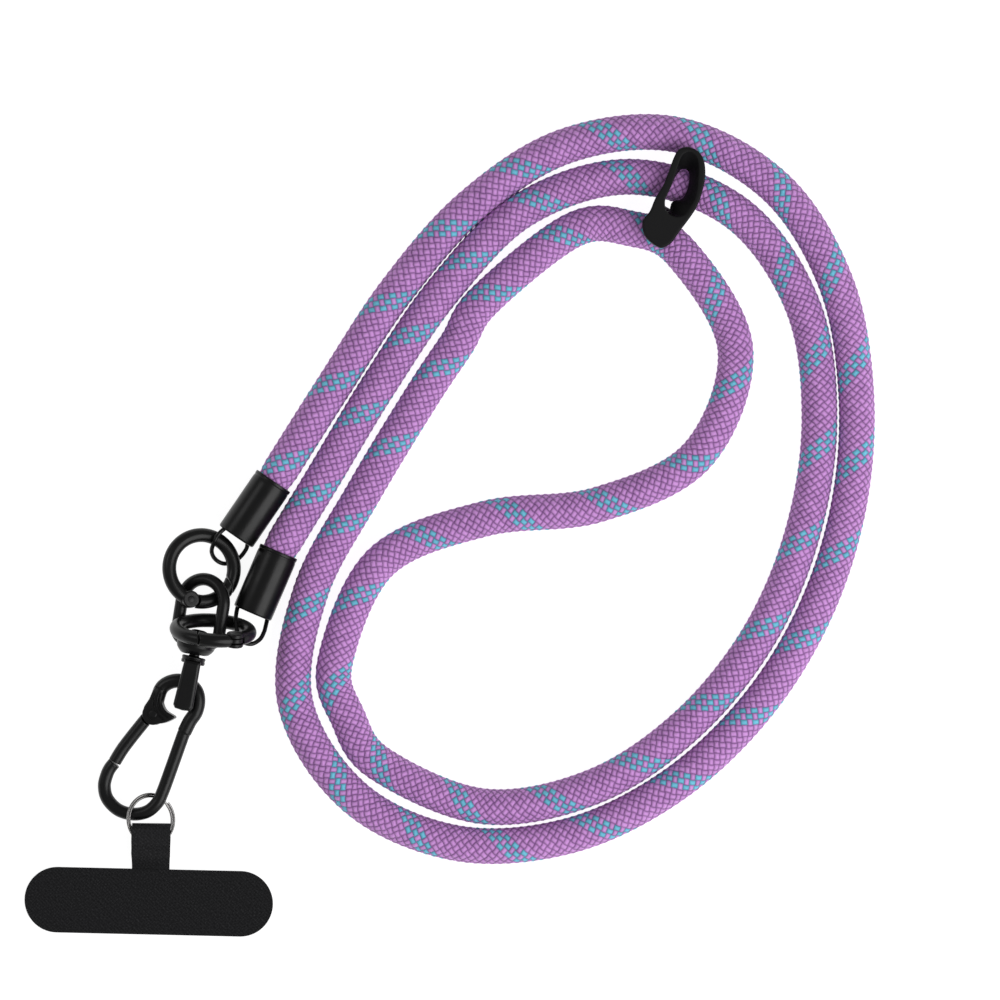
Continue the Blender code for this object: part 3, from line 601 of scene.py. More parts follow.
def leaning_axes(slope, pitch):
    """Across and along directions of a ring that leans sideways and forwards."""
    across = Vector((1, 0, slope)).normalized()
    along = Vector((0, 1, pitch))
    return across, (along - across * along.dot(across)).normalized()


def arc(middle, across, along, radius, start, end, steps):
    """Points on a circle; angles in radians run from across towards along."""
    return [middle + radius * (math.cos(a) * across + math.sin(a) * along)
            for a in (start + (end - start) * k / steps for k in range(steps + 1))]


# %% [markdown]
# The black metal is a dull electroplated finish: nearly black, with broad soft highlights,
# a fine grain, faint cloudy wear and slightly paler raised edges. A true metal shader
# mirrors the white table too strongly, so a dark plain surface with a weak gloss is used.

# %% Black plated metal
PLATED, PLATED_WORN = (0.0032, 0.0032, 0.0034), (0.03, 0.029, 0.027)
PLATED_GLOSS = 0.24
PLATED_ROUGHNESS, CLOUD_ROUGHNESS = 0.22, 0.18
WORN_FROM, WORN_GAIN, WORN_MOST = 0.56, 5, 0.6


def plated_look(name):
    made, tree, shader = new_look(name, Metallic=0.0)
    shader.inputs["Specular IOR Level"].default_value = PLATED_GLOSS
    clouds, grain = cloud(tree, 300.0, 4.0), cloud(tree, 4200.0, 2.0)
    rough = sum_of(tree, "MULTIPLY_ADD", clouds, CLOUD_ROUGHNESS, PLATED_ROUGHNESS)
    tree.links.new(rough, shader.inputs["Roughness"])
    worn = sum_of(tree, "MULTIPLY", raised_edges(tree, WORN_FROM, WORN_GAIN, WORN_MOST), clouds)
    tree.links.new(mixed(tree, worn, PLATED, PLATED_WORN), shader.inputs["Base Color"])
    bump(tree, shader, grain, 0.16, 0.03 * MM)
    return made


black_metal = plated_look("black_plated_metal")
print("metal finish", black_metal.name)


def metal(made, body, stands_for):
    return settle(made, black_metal, body, stands_for)


# %% [markdown]
# Each end cap is a short turned cup that grips the rope. Its mouth has a thin raised lip,
# and two small sockets in its closed end hold the legs of a wire bail. A cylinder could be
# bevelled and bored, but a spun profile gives the lip, the bore and the rounded rims in one
# closed skin. The bails are bent wire, so each follows a smooth path through a few points.

# %% End caps and bails
CAP_RADIUS = 5.05 * MM
CAP_LENGTH = 16.2 * MM
CAP_END = 0.7 * MM
CAP_BORE = 4.55 * MM
CAP_DEPTH = 9.6 * MM
CAP_LIP = 0.12 * MM
BAIL_WIRE = 1.1 * MM
BAIL_SEAT = 1.6 * MM
BAIL_LEAD = 0.5 * MM
BAIL_INSET = 0.45 * MM
UPPER_BAIL_RISE, LOWER_BAIL_RISE = 2.2 * MM, 0.6 * MM
SOCKET_ROOM = 0.3 * MM
UPPER_BAIL_MM = [
    (17.7, 92.1, 7.75), (16.7, 90.35, 7.9), (15.9, 87.85, 5.6), (16.7, 85.85, 3.3),
    (18.7, 84.7, 2.0), (20.95, 85.1, 1.25), (22.95, 86.35, 1.5), (24.45, 88.35, 2.3),
]
LOWER_BAIL_MM = [
    (22.1, 72.3, 7.2), (22.0, 70.3, 9.0), (22.4, 67.8, 10.6), (23.7, 65.4, 11.3),
    (25.9, 64.7, 11.0), (28.0, 65.8, 9.6), (29.0, 67.6, 7.6), (29.4, 69.1, 5.9),
]


def build_cap(side, mouth, axis, height_step, bail_mm):
    lip = CAP_LIP
    out = CAP_RADIUS
    end = CAP_LENGTH + CAP_END
    profile = [(0, CAP_DEPTH), (CAP_BORE, CAP_DEPTH), (CAP_BORE, 0.25 * MM),
               (CAP_BORE + 0.1 * MM, 0.08 * MM), (out - 0.22 * MM, 0), (out - 0.06 * MM, 0.06 * MM),
               (out, 0.22 * MM), (out, 0.75 * MM), (out - lip * 0.4, 0.86 * MM),
               (out - lip, 0.95 * MM), (out - lip * 0.9, 1.15 * MM), (out - lip * 0.2, 1.5 * MM),
               (out, 2.0 * MM), (out, end - 0.5 * MM), (out - 0.08 * MM, end - 0.22 * MM),
               (out - 0.28 * MM, end - 0.05 * MM), (out - 0.5 * MM, end), (0, end)]
    cap = lathe("end_cap_" + side + "_turned", profile, mouth, axis, 96)
    across = UP.cross(axis).normalized()
    face = mouth + axis * CAP_LENGTH
    reach = CAP_RADIUS - BAIL_WIRE / 2 - BAIL_INSET
    offset = math.sqrt(reach ** 2 - height_step ** 2)
    legs = [face - across * offset + UP * height_step, face + across * offset - UP * height_step]
    wide, deep = BAIL_WIRE / 2 + SOCKET_ROOM, BAIL_SEAT + SOCKET_ROOM
    for leg in legs:
        cut(cap, peg("socket", leg, axis, wide, 2 * deep, 32))
    metal(cap, "strap", "end_cap_" + side)
    bend = [Vector(row) * MM for row in bail_mm]
    rows = [legs[0] - axis * BAIL_SEAT, legs[0], legs[0] + axis * BAIL_LEAD] + bend
    rows += [legs[1] + axis * BAIL_LEAD, legs[1], legs[1] - axis * BAIL_SEAT]
    bail = wire("bail_" + side + "_bent", smooth_line(rows, 12), BAIL_WIRE)
    metal(bail, "strap", "bail_" + side)


build_cap("upper", UPPER_CAP_MOUTH, UPPER_CAP_AXIS, UPPER_BAIL_RISE, UPPER_BAIL_MM)
build_cap("lower", LOWER_CAP_MOUTH, LOWER_CAP_AXIS, LOWER_BAIL_RISE, LOWER_BAIL_MM)

# %% [markdown]
# The swivel is an arch of round wire on a bell-shaped foot. A pin goes through the foot,
# with a rivet head inside the arch, and carries a flange and a slim stirrup below it. Box
# modelling could give both, but their round wires and turned feet are simpler as separate
# shapes that are then melted together, which also rounds the inner corners as casting does.

# %% The swivel
CLEAR = 0.3 * MM
BOW_WIRE = 3.2 * MM
BOW_HALF = 6.05 * MM
BOW_HEIGHT = 20.6 * MM
BOW_BAR_HEIGHT = 3.3 * MM
BOW_CORNER = 2.6 * MM
BELL_RADIUS = 4.9 * MM
BELL_HEIGHT = 4.9 * MM
PIN_RADIUS = 1.3 * MM
PLAY = 0.5 * MM
SWIVEL_MIDDLE = Vector((11.65, 62.0, 6.4)) * MM
BOW_UP = Vector((0.155, 0.988, 0)).normalized()
BOW_ROLL = math.radians(28)
BOW_ACROSS = Vector((BOW_UP.y, -BOW_UP.x, 0)) * math.cos(BOW_ROLL) + UP * math.sin(BOW_ROLL)
EYE_DOWN = Vector((-0.21, -0.978, 0)).normalized()
EYE_START = PLAY + 1.52 * MM
EYE_LENGTH, EYE_DEPTH, EYE_WIDTH = 11.6 * MM, 8.4 * MM, 3.0 * MM
EYE_FOOT, EYE_BAR = 1.9 * MM, 1.7 * MM
EYE_CORNER, WINDOW_CORNER, EYE_EDGE = 1.9 * MM, 1.2 * MM, 0.62 * MM
FLANGE_RADIUS = 3.0 * MM
COVER_THICKNESS, COVER_EDGE = 2.0 * MM, 0.85 * MM
COVER_HALF, COVER_FOOT_HALF = 2.1 * MM, 2.55 * MM
EYE_GRAIN = 0.125 * MM


def build_bow():
    top = BOW_HEIGHT - BOW_WIRE / 2 - BOW_HALF
    low = BOW_BAR_HEIGHT + BOW_CORNER
    inner = BOW_HALF - BOW_CORNER
    foot, across, up = SWIVEL_MIDDLE, BOW_ACROSS, BOW_UP
    path = arc(foot + up * top, across, up, BOW_HALF, 0, math.pi, 48)
    left, right = foot + up * low - across * inner, foot + up * low + across * inner
    path += arc(left, across, up, BOW_CORNER, math.pi, math.pi * 1.5, 10)
    path += arc(right, across, up, BOW_CORNER, math.pi * 1.5, math.pi * 2, 10)
    hoop = wire("hoop", path, BOW_WIRE, closed=True)
    r, h = BELL_RADIUS, BELL_HEIGHT
    profile = [(0, h), (r * 0.66, h), (r * 0.85, h * 0.97), (r * 0.97, h * 0.86), (r, h * 0.72),
               (r, h * 0.5), (r * 0.95, h * 0.32), (r * 0.85, h * 0.18), (r * 0.72, h * 0.05),
               (r * 0.6, 0), (0, 0)]
    bell = lathe("bell", profile, foot, up)
    bow = cast("swivel_bow_cast", [hoop, bell])
    cut(bow, peg("bore", foot - EYE_DOWN * h / 2, EYE_DOWN, PIN_RADIUS + PLAY, h * 2))
    metal(bow, "strap", "swivel_bow")


def frame_outline(x0, x1, half, corner):
    """A rectangle with round corners, along x from x0 to x1."""
    rows = []
    for cx, cy, turn in ((x1 - corner, half - corner, 0), (x0 + corner, half - corner, 90),
                         (x0 + corner, corner - half, 180), (x1 - corner, corner - half, 270)):
        for k in range(9):
            a = math.radians(turn + 90 * k / 8)
            rows.append((cx + corner * math.cos(a), cy + corner * math.sin(a)))
    return rows


def build_eye():
    start, end = EYE_START, EYE_START + EYE_LENGTH
    place = axes_matrix(SWIVEL_MIDDLE, EYE_DOWN, EYE_DOWN.cross(UP))
    outer = frame_outline(start, end, EYE_DEPTH / 2, EYE_CORNER)
    inner = frame_outline(start + EYE_FOOT, end - EYE_BAR, EYE_DEPTH / 2 - EYE_BAR, WINDOW_CORNER)
    stirrup = slab("stirrup", [outer, inner], EYE_WIDTH, place, EYE_EDGE)
    head = BELL_HEIGHT + PLAY
    flange = FLANGE_RADIUS
    rows = [(0, head + 0.9 * MM), (1.2 * MM, head + 0.86 * MM), (1.95 * MM, head + 0.62 * MM),
            (2.3 * MM, head + 0.25 * MM), (2.25 * MM, head), (PIN_RADIUS, head),
            (PIN_RADIUS, -PLAY), (flange - 0.2 * MM, -PLAY), (flange, -PLAY - 0.2 * MM),
            (flange, -PLAY - 0.55 * MM), (flange - 0.14 * MM, -PLAY - 0.66 * MM),
            (flange - 0.14 * MM, -PLAY - 0.98 * MM), (flange, -PLAY - 1.1 * MM),
            (flange, -PLAY - 1.65 * MM), (flange - 0.25 * MM, -PLAY - 1.9 * MM),
            (0, -PLAY - 1.9 * MM)]
    shank = lathe("shank", rows, SWIVEL_MIDDLE, -EYE_DOWN)
    top = axes_matrix(SWIVEL_MIDDLE + UP * (EYE_DEPTH / 2 - EYE_BAR / 2), EYE_DOWN, UP)
    right = [(start - 0.5 * MM, -COVER_HALF), (end - 0.5 * MM, -COVER_FOOT_HALF),
             (end + 0.35 * MM, -1.95 * MM)]
    rows = right + [(end + 0.6 * MM, 0)] + [(x, -y) for x, y in reversed(right)]
    cover = slab("cover", [rows], COVER_THICKNESS, top, COVER_EDGE)
    eye = cast("swivel_eye_cast", [stirrup, shank, cover], EYE_GRAIN)
    metal(eye, "swivel_end", "swivel_eye")


build_bow()
build_eye()

# %% [markdown]
# A spring ring is round bar bent to a circle, with a gap that a small gate closes. The
# gate turns on a rivet between two cheeks and meets a nose across a thin seam. A torus
# could be sliced, but arcs of wire are easier, as each piece starts with its own length.
# The seam is cut by a cylinder about the rivet, so the gate clears the nose as it swings.
# The rings hang on the bow, so their heights follow from its legs: the upper ring lies
# over one leg and under the other, and the lower ring stands on one and holds the other.

# %% Spring rings
RING_WIRE = 3.55 * MM
RING_BAR = 3.4 * MM
UPPER_RING_RADIUS, LOWER_RING_RADIUS = 8.35 * MM, 9.1 * MM
UPPER_RING_KNUCKLE, UPPER_RING_SEAM = 247.6, 330.4
LOWER_RING_KNUCKLE, LOWER_RING_SEAM = 50.8, 112.6
CROSSING_ROOM = 1.22
UPPER_RING_SAG, UPPER_RING_PITCH = 0.45 * MM, -0.05
LOWER_RING_LEAN = math.radians(15)
LOWER_RING_REST = 0.5 * MM
KNUCKLE = 2.15 * MM
TONGUE = 1.1 * MM
TONGUE_INSET = 0.1 * MM
NOSE_ANGLE = 18
RING_RIVET = 0.95 * MM
RING_GROOVE, RING_GROOVE_DEPTH = 1.2 * MM, 0.24 * MM
GATE_GRAIN, GATE_SOFTEN = 0.12 * MM, 3


def upper_ring_place():
    """Its middle, across and along."""
    level = SWIVEL_MIDDLE + BOW_UP * (BOW_HEIGHT - BOW_WIRE / 2 - BOW_HALF)
    apart = (BOW_WIRE / 2 + RING_BAR / 2 + CLEAR) * CROSSING_ROOM
    over = level - BOW_ACROSS * BOW_HALF + UP * apart
    under = level + BOW_ACROSS * BOW_HALF - UP * apart
    slope = (under.z - over.z) / (under.x - over.x)
    middle = Vector((13.4, 83.5, 0)) * MM
    middle.z = over.z + slope * (middle.x - over.x) - UPPER_RING_SAG
    return (middle, *leaning_axes(slope, UPPER_RING_PITCH))


def lower_ring_place():
    """Its middle, across and along."""
    leg = SWIVEL_MIDDLE - BOW_ACROSS * BOW_HALF
    apart = (BOW_WIRE / 2 + RING_BAR / 2 + CLEAR) / math.cos(LOWER_RING_LEAN)
    middle = Vector((16.45, 68.1, 0)) * MM
    aside = middle.x - (leg + BOW_UP * (middle.y - SWIVEL_MIDDLE.y)).x
    rise = math.sqrt((LOWER_RING_RADIUS + apart) ** 2 - aside ** 2) * math.cos(LOWER_RING_LEAN)
    middle.z = leg.z + rise + LOWER_RING_REST
    across = Vector((0.998, -0.07, 0)).normalized()
    along = UP * math.cos(LOWER_RING_LEAN) + across.cross(UP) * math.sin(LOWER_RING_LEAN)
    return middle, across, along


def flat_neck(pivot, towards, normal, length, width):
    """The flat strip that joins a gate to its tongue inside the slot."""
    rows = [(0, -width / 2), (length, -width / 2), (length, width / 2), (0, width / 2)]
    return slab("neck", [rows], TONGUE, axes_matrix(pivot, towards, normal), 0.15 * MM)


def build_ring(side, middle, across, along, radius, knuckle, seam):
    normal = across.cross(along).normalized()
    hinge, close = math.radians(knuckle), math.radians(seam)
    around = 1 if seam > knuckle else -1
    nose = math.radians(NOSE_ANGLE) * around
    pivot = arc(middle, across, along, radius, hinge, hinge, 1)[0]
    reach = (arc(middle, across, along, radius, close, close, 1)[0] - pivot).length
    body = wire("body", arc(middle, across, along, radius, close + nose * 0.9,
                            hinge + math.tau * around, 110), RING_WIRE)
    tip = wire("tip", arc(middle, across, along, radius, close - nose, close + nose, 20), RING_WIRE)
    gate_path = arc(middle, across, along, radius, hinge, close + nose, 48)
    gate = wire("gate", gate_path, RING_WIRE)
    cut(tip, peg("outside", pivot, normal, reach + CLEAR / 2, RING_WIRE * 2, 160))
    cheeks = peg("cheeks", pivot, normal, KNUCKLE, RING_WIRE, 64, 0.3 * MM)
    body = cast("ring_" + side + "_cast", [body, tip, cheeks])
    cut(body, peg("slot", pivot, normal, KNUCKLE + CLEAR, TONGUE + 2 * CLEAR))
    face = pivot + normal * RING_WIRE / 2
    cut(body, peg("groove", face, normal, RING_GROOVE, RING_GROOVE_DEPTH))
    rivet = peg("rivet", pivot, normal, RING_RIVET, RING_WIRE * 0.97, 48, 0.25 * MM)
    cut(body, rivet, "UNION")
    metal(body, "strap", "ring_" + side)
    cut(gate, peg("inside", pivot, normal, reach - CLEAR / 2, RING_WIRE * 2, 160), "INTERSECT")
    cut(gate, peg("room", pivot, normal, KNUCKLE + CLEAR, RING_WIRE * 1.6))
    towards = (gate_path[14] - pivot).normalized()
    neck = flat_neck(pivot, towards, normal, KNUCKLE * 2, RING_WIRE - 0.5 * MM)
    tongue = peg("tongue", pivot, normal, KNUCKLE - TONGUE_INSET, TONGUE, 48)
    parts = [gate, neck, tongue]
    gate = cast("ring_" + side + "_gate_cast", parts, GATE_GRAIN, GATE_SOFTEN)
    cut(gate, peg("hole", pivot, normal, RING_RIVET + CLEAR / 2, RING_WIRE * 1.6))
    stands_for = "ring_" + side + "_gate"
    metal(gate, side + "_ring_gate", stands_for)


build_ring("upper", *upper_ring_place(), UPPER_RING_RADIUS, UPPER_RING_KNUCKLE, UPPER_RING_SEAM)
build_ring("lower", *lower_ring_place(), LOWER_RING_RADIUS, LOWER_RING_KNUCKLE, LOWER_RING_SEAM)

# %% [markdown]
# The carabiner is a bent bar that grows a hook with a spur at its top. The gate turns on
# a rivet in the hook's lug and closes against the bar's lower end. It could be drawn as one
# flat outline and thickened, but the real bar is round, so a wire follows its centre line,
# and only the spur and the lug are flat shapes. Its points are shares of its own length.

# %% Carabiner
CARABINER_WIRE = 3.3 * MM
CARABINER_LENGTH = 35.4 * MM
CARABINER_FOOT = Vector((-3.8, 22.05, 3.5)) * MM
CARABINER_UP = Vector((0.33, 0.944, 0)).normalized()
CARABINER_SLOPE = 0.2
LUG = 2.75 * MM
CARABINER_PIVOT = (-0.0935, 0.717)
HOOK_EXTRA = 0.32 * MM
SPUR_EDGE, LUG_EDGE = 0.5 * MM, 0.35 * MM
CARABINER_RIVET, RIVET_EDGE = 1.1 * MM, 0.3 * MM
CARABINER_GROOVE, CARABINER_GROOVE_DEPTH = 1.45 * MM, 0.36 * MM
CRESCENT_WIRE = 0.55 * MM
COLLAR_MIDDLE = (-0.096, 0.905)
COLLAR_ENDS = (-0.105, 0.875), (-0.1, 0.925)
COLLAR_RADIUS, COLLAR_WIRE_RADIUS = 1.85 * MM, 0.2 * MM
# How far the gate stands outwards: share of its length, millimetres
GATE_BOW = (0, 0.75), (0.4, 0.75), (0.75, 0.6), (1, 0.1)
NECK_SHIFT, NECK_INSET = 0.5 * MM, 0.7 * MM
CARABINER_OUTLINE = [
    (-0.099, 0.775), (-0.106, 0.892), (-0.073, 0.956), (-0.008, 0.997), (0.069, 1.001),
    (0.136, 0.969), (0.173, 0.907), (0.182, 0.828), (0.163, 0.754), (0.152, 0.668),
    (0.150, 0.598), (0.149, 0.409), (0.146, 0.217), (0.134, 0.130), (0.087, 0.050),
    (0.000, 0.000), (-0.110, -0.007), (-0.209, 0.041), (-0.259, 0.120),
    (-0.268, 0.200), (-0.262, 0.252), (-0.246, 0.297),
]
SPUR_OUTLINE = [
    (-0.141, 0.895), (-0.075, 0.888), (-0.064, 0.825), (-0.020, 0.773), (0.055, 0.752),
    (0.046, 0.725), (0.002, 0.685), (-0.040, 0.670), (-0.093, 0.717), (-0.168, 0.730),
    (-0.155, 0.808),
]
CRESCENTS = [
    [(-0.096, 0.870), (-0.088, 0.815), (-0.044, 0.757), (0.022, 0.731)],
    [(-0.118, 0.862), (-0.110, 0.800), (-0.064, 0.736), (-0.004, 0.706)],
]


def carabiner_point(row):
    across = Vector((CARABINER_UP.y, -CARABINER_UP.x, 0))
    at = CARABINER_FOOT + (across * row[0] + CARABINER_UP * row[1]) * CARABINER_LENGTH
    at.z = CARABINER_FOOT.z + CARABINER_SLOPE * (at.x - CARABINER_FOOT.x)
    return at


def build_carabiner():
    normal = Vector((-CARABINER_SLOPE, 0, 1)).normalized()
    pivot = carabiner_point(CARABINER_PIVOT)
    outline = [carabiner_point(row) for row in CARABINER_OUTLINE]
    across = Vector((CARABINER_UP.y, -CARABINER_UP.x, 0))
    across = (across - normal * across.dot(normal)).normalized()
    bar = wire("bar", smooth_line(outline, 10), CARABINER_WIRE)
    rows = []
    for row in SPUR_OUTLINE:
        away = carabiner_point(row) - pivot
        rows.append(Vector((away.dot(across), away.dot(normal.cross(across)), 0)))
    rows = [(p.x, p.y) for p in smooth_line(rows, 5, closed=True)]
    spur = slab("spur", [rows], CARABINER_WIRE, axes_matrix(pivot, across, normal), SPUR_EDGE)
    lug = peg("lug", pivot, normal, LUG, CARABINER_WIRE, 64, LUG_EDGE)
    seam = outline[-1]
    towards = (seam - pivot).normalized()
    hook = wire("hook", smooth_line(outline[:10], 10), CARABINER_WIRE + HOOK_EXTRA)
    body = cast("carabiner_cast", [bar, hook, spur, lug])
    face = normal * CARABINER_WIRE / 2
    for line in CRESCENTS:
        rows = [carabiner_point(row) + face for row in line]
        cut(body, wire("crescent", smooth_line(rows, 8), CRESCENT_WIRE))
    low, high = (carabiner_point(row) for row in COLLAR_ENDS)
    collar = (high - low).normalized()
    deselect()
    bpy.ops.mesh.primitive_torus_add(location=carabiner_point(COLLAR_MIDDLE),
                                     rotation=collar.to_track_quat("Z", "Y").to_euler(),
                                     major_radius=COLLAR_RADIUS, minor_radius=COLLAR_WIRE_RADIUS,
                                     major_segments=64, minor_segments=12)
    cut(body, apply_place(bpy.context.object))
    cut(body, peg("slot", pivot, normal, LUG + CLEAR, TONGUE + 2 * CLEAR))
    cut(body, peg("groove", pivot + face, normal, CARABINER_GROOVE, CARABINER_GROOVE_DEPTH))
    rivet = peg("rivet", pivot, normal, CARABINER_RIVET, CARABINER_WIRE, 48, RIVET_EDGE)
    cut(body, rivet, "UNION")
    metal(body, "swivel_end", "carabiner_frame")
    end = seam - towards * CLEAR
    outwards = towards.cross(normal)
    if outwards.dot(outline[-1] - outline[4]) < 0:
        outwards = -outwards
    rows = [pivot.lerp(end, share) + outwards * aside * MM for share, aside in GATE_BOW]
    gate = wire("gate", smooth_line(rows, 10), CARABINER_WIRE)
    cut(gate, peg("room", pivot, normal, LUG + CLEAR, CARABINER_WIRE * 1.6))
    root = pivot + outwards * NECK_SHIFT
    neck = flat_neck(root, towards, normal, LUG * 2, CARABINER_WIRE - NECK_INSET)
    tongue = peg("tongue", pivot, normal, LUG - TONGUE_INSET, TONGUE, 48)
    gate = cast("carabiner_gate_cast", [gate, neck, tongue], GATE_GRAIN, GATE_SOFTEN)
    cut(gate, peg("hole", pivot, normal, CARABINER_RIVET + CLEAR / 2, CARABINER_WIRE * 1.6))
    metal(gate, "carabiner_gate", "carabiner_gate")


build_carabiner()

# %% [markdown]
# The split ring is two turns of gunmetal wire side by side, with a short step where one
# turn becomes the other. Two plain rings would look alike, but would have no ends, so one
# wire is wound twice along a computed path.

# %% Split ring
SPLIT_MIDDLE = Vector((0.6, 20.85, 3.55)) * MM
SPLIT_RADIUS = 5.75 * MM
SPLIT_SLOPE, SPLIT_PITCH = -0.5, -0.1
SPLIT_STRAND = 0.6 * MM
SPLIT_WIDER, SPLIT_BACK, SPLIT_LIFT = 0.35 * MM, 0.15 * MM, 0.08 * MM
SPLIT_FIRST, SPLIT_SWEEP, SPLIT_STEPS = 60, 700, 192
GUNMETAL = (0.27, 0.265, 0.26)


def build_split_ring():
    across, along = leaning_axes(SPLIT_SLOPE, SPLIT_PITCH)
    normal = across.cross(along)
    middle = SPLIT_MIDDLE - along * SPLIT_BACK
    half = SPLIT_STEPS // 2 + 2
    rows = []
    for k in range(SPLIT_STEPS + 1):
        a = math.radians(SPLIT_FIRST + SPLIT_SWEEP * k / SPLIT_STEPS)
        step = min(max((k - half) / 6, -1), 1)
        out = SPLIT_RADIUS + SPLIT_WIDER + SPLIT_STRAND * 0.5 * step
        spot = middle + out * (math.cos(a) * across + math.sin(a) * along)
        rows.append(spot + normal * SPLIT_LIFT * step)
    ring = wire("split_ring_wound", rows, SPLIT_STRAND, section=12)
    gunmetal, tree, shader = new_look("gunmetal_wire", Metallic=1.0)
    shader.inputs["Base Color"].default_value = (*GUNMETAL, 1)
    scuffs = cloud(tree, 300.0, 3.0)
    rough = sum_of(tree, "MULTIPLY_ADD", scuffs, 0.25, 0.12)
    tree.links.new(rough, shader.inputs["Roughness"])
    bump(tree, shader, scuffs, 0.03, 0.02 * MM)
    settle(ring, gunmetal, "swivel_end", "split_ring")


build_split_ring()

# %% [markdown]
# The tab is one thin sheet of black woven fabric: a wide rounded panel that lies under a
# phone case, and a stem that is folded round the split ring and sewn down. A cloth run
# could drape it, but the fold is simple enough to place: both pieces start as flat grids
# whose points are moved to a formula, and are given their thickness afterwards.

# %% Fabric tab
TAB_HALF = 31.1 * MM
TAB_CORNER = 8.2 * MM
TAB_THICKNESS = 0.9 * MM
TAB_TURN = math.radians(-1.3)
STEM_HALF = 4.7 * MM
STEM_SHIFT = 0.3 * MM
STEM_LENGTH = 11.6 * MM
POCKET_LENGTH = 7.6 * MM
POCKET_ROLL = math.radians(24)
STEM_LAYER = 0.6 * MM
FOLD_ROOM = 1.35 * MM
TAB_EDGE = 0.12 * MM
THREAD_DARK, THREAD_LIGHT = (0.002, 0.002, 0.0025), (0.05, 0.05, 0.053)
RIB_PITCH, RIB_SHARE = 0.95 * MM, 0.06
FLAT_STRETCH = 2.4


def tab_place(x, y, z):
    c, s = math.cos(TAB_TURN), math.sin(TAB_TURN)
    return (x * c - y * s, x * s + y * c, z)


def build_tab():
    deselect()
    bpy.ops.mesh.primitive_grid_add(x_subdivisions=120, y_subdivisions=32, size=2)
    panel = bpy.context.object
    panel.name = "tab_panel"
    flat = TAB_HALF - TAB_CORNER
    for v in panel.data.vertices:
        a = v.co.x * (flat + TAB_CORNER * math.pi / 2)
        over = abs(a) - flat
        if over <= 0:
            x, half = a, TAB_CORNER
        else:
            turn = min(over / TAB_CORNER, math.pi / 2)
            x = math.copysign(flat + TAB_CORNER * math.sin(turn), a)
            half = TAB_CORNER * math.cos(turn)
        v.co = tab_place(x, v.co.y * half, TAB_THICKNESS / 2)
    weld(panel)
    use(panel, "SOLIDIFY", thickness=TAB_THICKNESS, offset=0)

    along = leaning_axes(SPLIT_SLOPE, SPLIT_PITCH)[1]
    height = (SPLIT_MIDDLE - along * SPLIT_RADIUS * 0.8).z
    start = TAB_CORNER - 0.4 * MM
    end = TAB_CORNER + STEM_LENGTH - POCKET_LENGTH
    high = TAB_CORNER + STEM_LENGTH
    layer = STEM_LAYER
    bend = FOLD_ROOM + layer / 2
    rows = [(start + (end - start) * k / 14, 0.0) for k in range(15)]
    fold = [(end + 0.7 * MM, 0.12 * MM), (end + 1.6 * MM, 0.75 * MM), (end + 2.8 * MM, bend * 0.93),
            (high - bend, bend)]
    fold += [(high - bend + (bend - layer / 2) * math.sin(math.radians(a)),
              bend * math.cos(math.radians(a))) for a in range(18, 180, 18)]
    fold += [(high - bend, -bend), (end + 2.8 * MM, -bend * 0.93), (end + 1.6 * MM, -0.95 * MM),
             (end + 0.8 * MM, -0.66 * MM), (end - 0.8 * MM, -0.6 * MM)]
    path = [Vector((0, y, z)) for y, z in rows]
    path += smooth_line([Vector((0, y, z)) for y, z in [rows[-1]] + fold], 5)[1:]
    deselect()
    bpy.ops.mesh.primitive_grid_add(x_subdivisions=16, y_subdivisions=len(path) - 1, size=2)
    stem = bpy.context.object
    stem.name = "tab_stem"
    for v in stem.data.vertices:
        row = path[round((v.co.y + 1) / 2 * (len(path) - 1))]
        share = min(max((row.y - TAB_CORNER) / (end - TAB_CORNER), 0), 1)
        share = share * share * (3 - 2 * share)
        side, level = v.co.x * STEM_HALF, row.z
        roll = POCKET_ROLL * share
        z = (TAB_THICKNESS / 2 + (height - TAB_THICKNESS / 2) * share
             - side * math.sin(roll) + level / math.cos(roll))
        v.co = tab_place(STEM_SHIFT + side, row.y, z)
    use(stem, "SOLIDIFY", thickness=layer, offset=0)
    activate(stem)
    panel.select_set(True)
    bpy.context.view_layer.objects.active = panel
    bpy.ops.object.join()
    tab = bpy.context.object
    tab.name = "woven_tab"
    use(tab, "BEVEL", width=TAB_EDGE, segments=2, angle_limit=math.radians(50))
    return tab


def weave_look():
    """A fine mottled weave on faint slanting ribs."""
    made, tree, shader = new_look("black_woven_fabric", Roughness=0.78)
    shader.inputs["Specular IOR Level"].default_value = 0.14
    shader.inputs["Sheen Weight"].default_value = 0.01
    place = node(tree, "ShaderNodeTexCoord")
    split = node(tree, "ShaderNodeSeparateXYZ")
    tree.links.new(place.outputs["Object"], split.inputs[0])
    x, y = split.outputs[0], split.outputs[1]
    rising = sum_of(tree, "ADD", x, y)
    falling = sum_of(tree, "MULTIPLY", sum_of(tree, "SUBTRACT", x, y), FLAT_STRETCH)
    turned = node(tree, "ShaderNodeCombineXYZ")
    tree.links.new(rising, turned.inputs[0])
    tree.links.new(falling, turned.inputs[1])
    clouds = node(tree, "ShaderNodeTexNoise", Scale=1150.0, Detail=2.0)
    tree.links.new(turned.outputs[0], clouds.inputs["Vector"])
    ribs = sum_of(tree, "SINE", sum_of(tree, "MULTIPLY", rising, math.tau / RIB_PITCH))
    dots = sum_of(tree, "MULTIPLY_ADD", ribs, RIB_SHARE, clouds.outputs[0])
    lit = sum_of(tree, "POWER", sum_of(tree, "MAXIMUM", dots, 0), 3)
    tree.links.new(mixed(tree, lit, THREAD_DARK, THREAD_LIGHT), shader.inputs["Base Color"])
    bump(tree, shader, dots, 0.6, 0.12 * MM)
    return made


tab = build_tab()
settle(tab, weave_look(), "swivel_end", "phone_tab")

